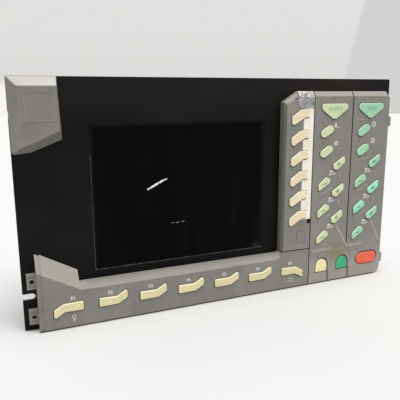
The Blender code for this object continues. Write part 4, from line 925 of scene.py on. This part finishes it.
def feed_sign():
    return [stroke([(-3.0, 2.4), (-0.4, 0), (-3.0, -2.4)], 0.8), stroke(arc(0.8, 0, 2.6, -90, 90), 0.8),
            stroke([(0.7, -2.4), (0.7, 2.4)], 0.75), stroke([(-3.4, 2.7), (1.2, 2.8)], 0.6),
            stroke([(-3.4, -2.7), (-0.6, -2.6)], 0.6)]


def pair_sign(lean):
    """A cutter over a row of cuts, for the plus and minus pairs."""
    cuts, pitch, climb = 4, 2.7, 0.2
    marks = [moved([(-3.2, 1.4), (-0.8, 0.9), (0.4, 3.2), (-2.4, 4.0)], lean, 0),
             stroke(moved([(1.4, 1.2), (3.2, 3.0)], lean, 0), 1.0)]
    for i in range(cuts):
        cut = [(-0.6, -2.4), (0.6, -0.2)]
        marks.append(stroke(moved(cut, i * pitch - 3.8, i * climb), 1.15))
    return marks


def make_function_legends():
    """Plain numbers above the function keys, and a simple sign below the first and the last."""
    size, rise = 5.6, 9.2
    first, last = 1, len(FUNCTION_KEYS)
    bm, worn = bmesh.new(), bmesh.new()
    for number, node in enumerate(FUNCTION_KEYS, first):
        aside = {first: 5.2, last: -3.0}.get(number, -3.2)
        add_text(worn if number in WORN_LEGENDS else bm, f"F{number}", *beside(node, aside, rise), size)
    add_marks(bm, lamp_sign(), *beside(FUNCTION_KEYS[0], 5.2, -11.4))
    add_marks(bm, loop_sign(), *beside(FUNCTION_KEYS[-1], -2.4, -12.4))
    finished("function_legends", bm, "white_ink")
    finished("function_legends_worn", worn, "worn_ink")


def make_machine_legends():
    """Simple signs beside the slanted ovals, and one between each plus key and its minus key."""
    bm = bmesh.new()
    signs = {"manual": ((drop_sign(), 12.9, 7.0), (sun_sign(), 14.6, 10.0)),
             "auto": ((turn_sign(), 15.9, 7.3), (feed_sign(), 16.2, 11.0))}
    for column, lean in zip(COLUMNS, (-0.6, -1.2)):
        for number, (sign, dx, dz) in enumerate(signs[column], 1):
            x, z = centre(f"{column}_select_key_{number}")
            add_marks(bm, sign, x + dx, z + dz)
        for number in (1, 2, 3):
            add_marks(bm, pair_sign(lean), *beside(f"{column}_minus_key_{number}", 12.2, 13.0))
    finished("machine_legends", bm, "white_ink")


def lamp_places():
    """The lamps' middles, each placed from the plunger of its key."""
    places = []
    for column in COLUMNS:
        places.append(beside(f"{column}_mode_key", -1.4, 15.8))
        for number in (1, 2):
            places.append(beside(f"{column}_select_key_{number}", -6.6, 11.0))
    return places + [beside("cycle_key", -6.8, 12.9), beside("start_key", -7.5, 14.3),
                     beside("stop_key", -17.3, 13.4)]


def make_lamps():
    """Small domed lenses, each in a dark ring."""
    radius, dome, steps = 0.8, 0.3, 4
    root = COVER_FACE - 0.3
    lenses, rings = bmesh.new(), bmesh.new()
    for x, z in lamp_places():
        add_frame(rings, circle(x, z, radius + 0.15), circle(x, z, radius - 0.05), root, COVER_FACE + PROUD)
        outlines = [(circle(x, z, radius), root)]
        for i in range(steps):
            angle = math.pi / 2 * i / steps
            height = dome * math.sin(angle) - ROOT
            outlines.append((circle(x, z, radius * math.cos(angle)), COVER_FACE + height))
        add_rings(lenses, outlines)
    finished("lamp_lenses", lenses, "lamp_lens", 60)
    finished("lamp_rings", rings, "dark_hole")


def broad_ridges():
    """Routes of the wide soft ridges below the key columns."""
    return [from_key("manual_plus_key_3", (-0.1, -11.5), (19.8, -42.5), (45.2, -42.2)),
            from_key("auto_plus_key_3", (0.6, -10.8), (17.2, -42.0)),
            from_key("cycle_key", (-16.4, 20.6), (15.6, 21.4))]


def fine_ridges():
    """Routes of the thin ridges that lead from key to key."""
    routes = []
    for column in COLUMNS:
        for number in (1, 2):
            minus, plus = f"{column}_minus_key_{number}", f"{column}_plus_key_{number}"
            routes.append(from_key(minus, (-5.0, -14.2), (10.8, -6.4), (12.6, -6.2), (14.0, -8.6)))
            routes.append(from_key(plus, (0.6, -12.0), (4.6, -19.6)))
    return routes + [from_key("auto_select_key_2", (-14.6, -14.0), (8.0, -11.4), (11.6, -9.0)),
                     from_key("auto_mode_key", (-24.6, -11.0), (-4.6, -11.0)),
                     from_key("manual_select_key_2", (11.0, -8.2), (12.8, -14.4))]


def make_ridges():
    narrowing, lowest = 0.55, 0.02
    for name, routes, width, height in (("broad_ridges", broad_ridges(), 4.0, 0.36),
                                        ("fine_ridges", fine_ridges(), 1.7, 0.34)):
        bm = bmesh.new()
        for route in routes:
            rings = [(stroke(route, width), COVER_FACE - ROOT)]
            for share in (0.0, 0.45, 0.8, 1.0):
                rise = height * (lowest + (1 - lowest) * math.sin(share * math.pi / 2))
                rings.append((stroke(route, width * (1 - narrowing * share ** 2)), COVER_FACE + rise))
            add_rings(bm, rings)
        finished(name, bm, "ridge_grey", 50)


def make_seams():
    """Painted shade: dark sheets in the depths of the joints between the covers, of the grooves and of the
    notch below the label strip.
    """
    face = COVER_FACE + PROUD
    floor, groove_floor, plate = 9.8, 10.4, 0.4
    slope = COVER.top - 6.0
    foot = BEZEL.bottom
    corner = COVER.left - 40.0
    groove = (COVER.left + COVER.right) / 2 - 4.225

    def over_the_top(bottom, depth):
        """Side view of a seam that runs up over the cover's top slope."""
        return [(bottom, depth), (slope - 1, depth), (COVER.top - 0.6, depth - 3.4), (COVER.top - 0.3, 8.03),
                (slope, face), (bottom, face)]

    bm = bmesh.new()
    add_slice(bm, over_the_top(1.2, floor), COVER.left - 0.8, COVER.left + 0.5)
    add_slice(bm, over_the_top(50.4, groove_floor), groove - 0.75, groove + 0.75)
    for node in ("cycle_key", "start_key"):
        edge = extent(node).right + 0.55
        add_slice(bm, rectangle(1.3, 16.6, groove_floor, face), edge - 0.5, edge + 0.5)
    add_slice(bm, rectangle(foot - 0.7, foot + 0.5, floor, face), corner, COVER.left - 0.6)
    add_slice(bm, rectangle(foot - 0.5, foot + 0.5, plate, face), corner - 2.0, corner)
    add_slice(bm, rectangle(84.4, 90.3, floor, face), COVER.left - 5.2, COVER.left - 0.9)
    finished("cover_seams", bm, "dark_hole")


def make_key_gap_shades():
    """Painted shade in the keys' openings: dark rims, wider below, and on the lower three keys above and to
    the right.
    """
    floor, gap, cut = 9.8, 0.3, 0.8
    bm = bmesh.new()
    for node in sorted(KEYS):
        reach, shift = (1.1, (0.65, 0.8)) if node in LOWER_KEYS else (1.05, (-0.05, -0.4))
        loop = cap_loop(node)
        inner = rounded(offset(loop, -gap), cut)
        outer = moved(rounded(offset(loop, -reach), cut), *shift)
        add_frame(bm, outer, inner, floor, COVER_FACE + PROUD)
    finished("key_gap_shades", bm, "key_gap_shade")


def make_bezel_end():
    """Rounds off the right end of the function key bezel's top slope, which meets the softkey bezel there."""
    columns, rows_up, lead_in = 24, 14, 4
    joint = BEZEL.left
    start, length, low, slope_height, drop = joint - 10.0, 10.4, 41.3, 7.0, 4.2
    step_reach, step_height = 3.0, 1.9
    rows = []
    for j in range(rows_up + 1):
        row = []
        for i in range(columns + 1):
            s = (i - lead_in) / (columns - lead_in)
            x = start + length * s
            step = min(max((x - joint + step_reach) / step_reach, 0.0), 1.0)
            z = low + (slope_height + step_height * step) * j / rows_up
            fill = 1 - math.sqrt(1 - min(max(s, 0.0), 1.0) ** 2)
            fall = max(min((z - low) / slope_height, 1.0) - fill, 0.0)
            row.append((x, z, COVER_FACE - drop * fall + PROUD))
        rows.append(row)
    bm = bmesh.new()
    add_sheet(bm, rows, 0.6)
    finished("bezel_end", bm, "bezel_grey", 60)


def make_lower_edge():
    """The rolled lower edge of the covers, a dark strip of painted shade where it turns under."""
    margin, first, last = 0.2, 14.6, 463.5
    front = COVER_FACE + 0.04
    profile = [(0.05, 7.2), (0.05, 8.6), (0.35, 11.6), (0.9, front), (1.7, front), (1.7, 11.5)]
    bm = bmesh.new()
    add_slice(bm, profile, first, extent("function_key_bezel").right - margin)
    add_slice(bm, profile, COVER.left + margin, last)
    finished("lower_edge", bm, "shade_line")


def make_window_edge():
    """The lower and left edges of the window's opening, which catch the light."""
    lower = rectangle(GLASS.left - 0.1, GLASS.right - 1.2, GLASS.bottom - 0.25, GLASS.bottom + 0.3)
    upright = rectangle(GLASS.left - 0.2, GLASS.left + 0.2, GLASS.bottom, GLASS.top - 30)
    make_flat("window_edge", "window_edge", GLASS.front - 0.2, GLASS.front + THIN_MARK,
              [lower, upright])


def make_badge_frame():
    """The bare square on the corner cap: a thin frame inside a wider one."""
    cap = extent("corner_cap")
    width, height = cap.right - cap.left, cap.top - cap.bottom
    field = rectangle(cap.left + width * 0.29, cap.left + width * 0.85,
                      cap.bottom + height * 0.43, cap.bottom + height * 0.81)
    inner = offset(field, 1.9)
    bm = bmesh.new()
    # Both frames take the paler edge finish: wear and a painted highlight.
    add_frame(bm, field, offset(field, 0.8), cap.front - ROOT, cap.front + 0.35)
    add_frame(bm, inner, offset(inner, 0.5), cap.front - ROOT, cap.front + 0.2)
    finished("badge_frame", bm, "cover_edge")


def make_label_square():
    """A blank outlined square low on the softkey bezel."""
    square = rectangle(BEZEL.right - 20.4, BEZEL.right - 7.6, BEZEL.bottom + 8.5, BEZEL.bottom + 24.8)
    outer = rounded(square, 1.2, 3)
    bm = bmesh.new()
    add_frame(bm, outer, offset(outer, 0.45), BEZEL.front - ROOT, BEZEL.front + 0.1)
    finished("label_square", bm, "cover_shadow")


def make_softkey_marks():
    """Two faint short dashes above the left end of each softkey."""
    dashes = []
    for node in SOFTKEYS:
        dashes += [stroke(from_key(node, (-11.6, 7.2), (-10.6, 9.0)), 0.6),
                   stroke(from_key(node, (-10.9, 7.4), (-9.9, 8.2)), 0.5)]
    make_flat("softkey_marks", "faint_white", COVER_FACE - 0.05, COVER_FACE + THIN_MARK,
              dashes)


def make_bezel_slot():
    """The small slot beside the foil patch and a small pit near the bezel's foot, drawn as dark sheets of
    painted shade.
    """
    slot = rectangle(BEZEL.right - 28.6, BEZEL.right - 21.2, BEZEL.top - 9.2, BEZEL.top - 8.1)
    pit = circle(BEZEL.right - 28.0, BEZEL.bottom + 25.5, 0.55, 10)
    make_flat("bezel_slot", "dark_hole", COVER_FACE - 0.2, COVER_FACE + THIN_MARK,
              [rounded(slot, 0.5, 3), pit])


def make_tab_frames():
    """Rims of the two drilled tabs on the left of the function key bezel, paler as wear with a painted
    highlight, and painted shade in their holes.
    """
    half_height, wall, hole = 7.6, 1.1, 2.42
    root, tab_face = 3.6, 3.95
    x = extent("function_key_bezel").left + 5.2
    heights = (16.0, 55.3)
    bm = bmesh.new()
    for z in heights:
        outer = rectangle(x - 4.7, x + 4.1, z - half_height, z + half_height)
        add_frame(bm, outer, offset(outer, wall), root, tab_face + 0.75)
        add_frame(bm, circle(x, z, 3.5), circle(x, z, hole + 0.03), root, tab_face + 0.55)
    finished("tab_frames", bm, "cover_edge", 30)
    make_flat("tab_hole_shadow", "dark_hole", 0.35, tab_face,
              [circle(x, z, hole) for z in heights])


def ripple(height, x, y, z):
    return height * noise.noise(Vector((x, y, z)))


def make_foil():
    """Crumpled tape over the softkey bezel's top slope and onto its face, its left side torn."""
    across, down = 19, 20
    length, width, thickness = 21.5, 23.2, 0.1
    slope_run, slope_height, edge_depth = 7.3, 6.0, 7.8
    rows = []
    for j in range(down + 1):
        v = j / down
        run = v * length
        if run < slope_run:
            share = run / slope_run
            z = BEZEL.top + 0.2 - slope_height * share
            depth = edge_depth + (COVER_FACE - edge_depth) * share
        else:
            z = BEZEL.top - slope_height - (run - slope_run)
            depth = COVER_FACE
        torn = ripple(1.1, 0.3, v * 7.0, 2.0) + 1.4 * max(0.0, 1 - v * 3.2)
        torn += 4.2 * max(0.0, (v - 0.62) / 0.38) ** 2
        row_width = width - torn - 1.6 * max(0.0, 0.3 - v)
        calm = min(1.0, 0.3 + v * 1.8)
        row = []
        for i in range(across + 1):
            u = i / across
            fold = abs(ripple(1.6, u * 2.6 + v * 2.4, v * 5.4 - u * 1.2, 9.0))
            crease = ripple(0.5, u * 8.0, v * 15.0, 4.0)
            inset = min(u, 1 - u, v * 1.4, (1 - v) * 1.4) * 12
            lift = max((0.3 + calm * fold + crease) * min(1.0, 0.3 + inset), 0.12)
            dz = ripple(0.9, u * 7.0, 7.0, v) if j in (0, down) else ripple(0.5, u * 8, v * 8, 1)
            dx = ripple(0.7, u * 8, v * 8, 5) if 0 < i < across else 0.0
            x = BEZEL.right - 23.4 + torn + row_width * u + dx
            row.append((x, min(z + dz, BEZEL.top + 0.6), depth + lift))
        rows.append(row)
    bm = bmesh.new()
    add_sheet(bm, rows, thickness)
    bmesh.ops.triangulate(bm, faces=bm.faces)
    finished("foil_patch", bm, "foil_silver")


def make_scratches():
    """Bright and dull scratches on the display filter, pale as painted glints, placed from its lower left
    corner.
    """
    bright = (([(61.9, 85.0), (66.5, 87.4)], 1.5), ([(66.0, 87.0), (75.5, 91.9)], 2.3),
              ([(76.4, 92.0), (80.6, 94.4)], 2.3), ([(80.4, 94.2), (85.6, 95.8)], 1.4))
    dull = (([(90.2, 43.6), (93.5, 43.8)], 0.6), ([(95.5, 43.6), (99.8, 43.8)], 0.9),
            ([(102.5, 43.8), (106.2, 44.4)], 0.8))
    for name, routes, finish in (("glint_scratch_bright", bright, "glint"), ("glint_scratch_dull", dull, "dull_glint")):
        outlines = [stroke(moved(route, GLASS.left, GLASS.bottom), width) for route, width in routes]
        make_flat(name, finish, GLASS.front - PROUD, GLASS.front + PROUD, outlines)


# Rear details, where a node's back is the face that shows

def make_connector_face(node, count):
    """Insulator and contacts on the end of a data connector, the second row shorter by one."""
    half_pitch, wall, half_height, half_spacing = 0.69, 1.2, 3.2, 1.4
    back = extent(node).back
    x, z = centre(node)
    half = count * half_pitch + wall
    outline = [(x - half + wall, z - half_height), (x + half - wall, z - half_height),
               (x + half, z + half_height), (x - half, z + half_height)]
    make_flat(f"{node}_insulator", "dark_hole", back - 0.25, back + 1.0,
              [rounded(outline, 1.0, 3)], 30)
    contacts = []
    for in_row, row_z in ((count, z + half_spacing), (count - 1, z - half_spacing)):
        contacts += [circle(x + (2 * i - in_row + 1) * half_pitch, row_z, 0.42, 8) for i in range(in_row)]
    make_flat(f"{node}_contacts", "steel_bright", back - 0.5, back, contacts, 30)


def make_screw_recess(node):
    """A dark cross of painted shade in a screw's head."""
    screw = extent(node)
    reach = (screw.right - screw.left) * 0.3
    bars = []
    for turn in (35, 125):
        ends = [around(*centre(node), side * reach, math.radians(turn)) for side in (-1, 1)]
        bars.append(stroke(ends, 0.8))
    make_flat(f"{node}_recess", "dark_hole", screw.back, screw.back + 0.3, bars)


def make_terminal_screws():
    """Three wire holes in the rear of the power plug, drawn as dark disks of painted shade, and a screw in
    its top above each.
    """
    plug = extent("power_connector")
    middle, height = centre("power_connector")
    pitch, sides = 5.08, 14
    columns = [middle + i * pitch for i in (-1, 0, 1)]
    bm = bmesh.new()
    for column in columns:
        disk = circle(column, plug.back + 4.5, 1.5, sides)
        add_body(bm, [[point(x, z, depth) for x, depth in disk] for z in (plug.top - 0.3, plug.top + 0.15)])
    finished("terminal_screws", bm, "steel_bright", 30)
    make_flat("terminal_holes", "dark_hole", plug.back, plug.back + 0.4,
              [circle(x, height, 1.3, sides) for x in columns])


def make_rear_details():
    make_connector_face("io_connector", 26)
    make_connector_face("serial_connector", 10)
    make_screw_recess("rear_cover_screw_left")
    make_screw_recess("rear_cover_screw_right")
    make_terminal_screws()


# Stage, light and camera. The floor's sizes are in metres

FLOOR_COLOR = (0.69, 0.688, 0.683)
FLOOR_RADIUS = 6.8
FLOOR_DROP = 0.0002
EVEN_LIGHT = (1.0, 0.99, 0.97)
EVEN_STRENGTH = 0.52
SWEEP_COLOR = (0.91, 0.905, 0.895)
WALL_LOW_COLOR = (0.70, 0.685, 0.67)
WALL_HIGH_COLOR = (0.755, 0.745, 0.73)
SIDE_WALL_COLOR = (0.65, 0.648, 0.643)
WALL_CORNER = (0.763, -0.610, -0.213)
SUN_DIRECTION = (-0.10, 0.22, -1.0)
SUN_STRENGTH = 2.9
SUN_WIDTH = 48
CAMERA_PLACE = (-26.16, 245.05, 531.5)
CAMERA_YAW = 23.47
CAMERA_PITCH = 11.66
CAMERA_ROLL = -0.34
LENS = 45.18


def floor_finish():
    """Pale matt floor that fades into the backdrop."""
    made = Finish("floor_pale", FLOOR_COLOR, 0.9, specular=0.1)
    made.blotch(0.985, 1.5, 3, 0.45, 0.7)
    made.grain(60, 2, 0.01)


def make_floor():
    bm = bmesh.new()
    bm.faces.new([bm.verts.new((x, y, -FLOOR_DROP)) for x, y in circle(0, 0, FLOOR_RADIUS, 96)])
    mesh = bpy.data.meshes.new("floor")
    bm.to_mesh(mesh)
    bm.free()
    mesh.materials.append(FINISHES["floor_pale"])
    floor = placed("floor", mesh)


def make_world():
    """Even light for the object, and a pale grey wall where the eye or a reflection looks."""
    world = bpy.data.worlds.new("studio")
    bpy.context.scene.world = world
    world.use_nodes = True
    world.node_tree.nodes.clear()
    made = Nodes(world.node_tree)
    view = made.add("TexCoord", {}).outputs["Generated"]
    height = made.part(view, "Z")
    wall = made.mix(made.ramp(height, -0.03, 0.12, curve="LINEAR"), WALL_LOW_COLOR, WALL_HIGH_COLOR)
    wall = made.mix(made.ramp(height, 0.018, 0.032, curve="LINEAR"), SWEEP_COLOR, wall)
    past = made.add("VectorMath", {0: view, 1: WALL_CORNER}, operation="DOT_PRODUCT")
    beyond = made.ramp(past.outputs["Value"], 0.0, 0.004, curve="LINEAR")
    wall = made.mix(beyond, wall, SIDE_WALL_COLOR)
    rays = made.add("LightPath", {}).outputs
    seen = made.combine("MAXIMUM", rays["Is Camera Ray"], rays["Is Glossy Ray"], rays["Is Transmission Ray"])
    even = made.add("Background", {"Color": EVEN_LIGHT, "Strength": EVEN_STRENGTH})
    backdrop = made.add("Background", {"Color": wall})
    shown = made.add("MixShader", {"Fac": seen, 1: even.outputs[0], 2: backdrop.outputs[0]})
    made.add("OutputWorld", {"Surface": shown.outputs[0]})


def make_light():
    """A wide soft light from overhead, a little to the front."""
    data = bpy.data.lights.new("overhead", "SUN")
    data.energy = SUN_STRENGTH
    data.angle = math.radians(SUN_WIDTH)
    lamp = placed("overhead", data)
    lamp.rotation_euler = Vector(SUN_DIRECTION).to_track_quat("-Z", "Y").to_euler()


def make_camera():
    data = bpy.data.cameras.new("photo_camera")
    data.lens = LENS
    data.sensor_width = 36
    camera = placed("photo_camera", data)
    turn = Matrix.Rotation(math.radians(-CAMERA_YAW), 4, "Z")
    turn = turn @ Matrix.Rotation(math.radians(90 - CAMERA_PITCH), 4, "X")
    turn = turn @ Matrix.Rotation(math.radians(CAMERA_ROLL), 4, "Z")
    camera.matrix_world = Matrix.Translation(point(*CAMERA_PLACE)) @ turn
    bpy.context.scene.camera = camera


for make in (make_finishes, dress_frame, make_keys, make_key_marks, make_function_legends,
             make_machine_legends, make_lamps, make_ridges, make_seams, make_key_gap_shades, make_bezel_end,
             make_lower_edge, make_window_edge, make_badge_frame, make_label_square, make_softkey_marks,
             make_bezel_slot, make_tab_frames, make_foil, make_scratches, make_rear_details,
             make_floor, make_world, make_light, make_camera):
    make()

scene = bpy.context.scene
scene.view_settings.view_transform = "Standard"
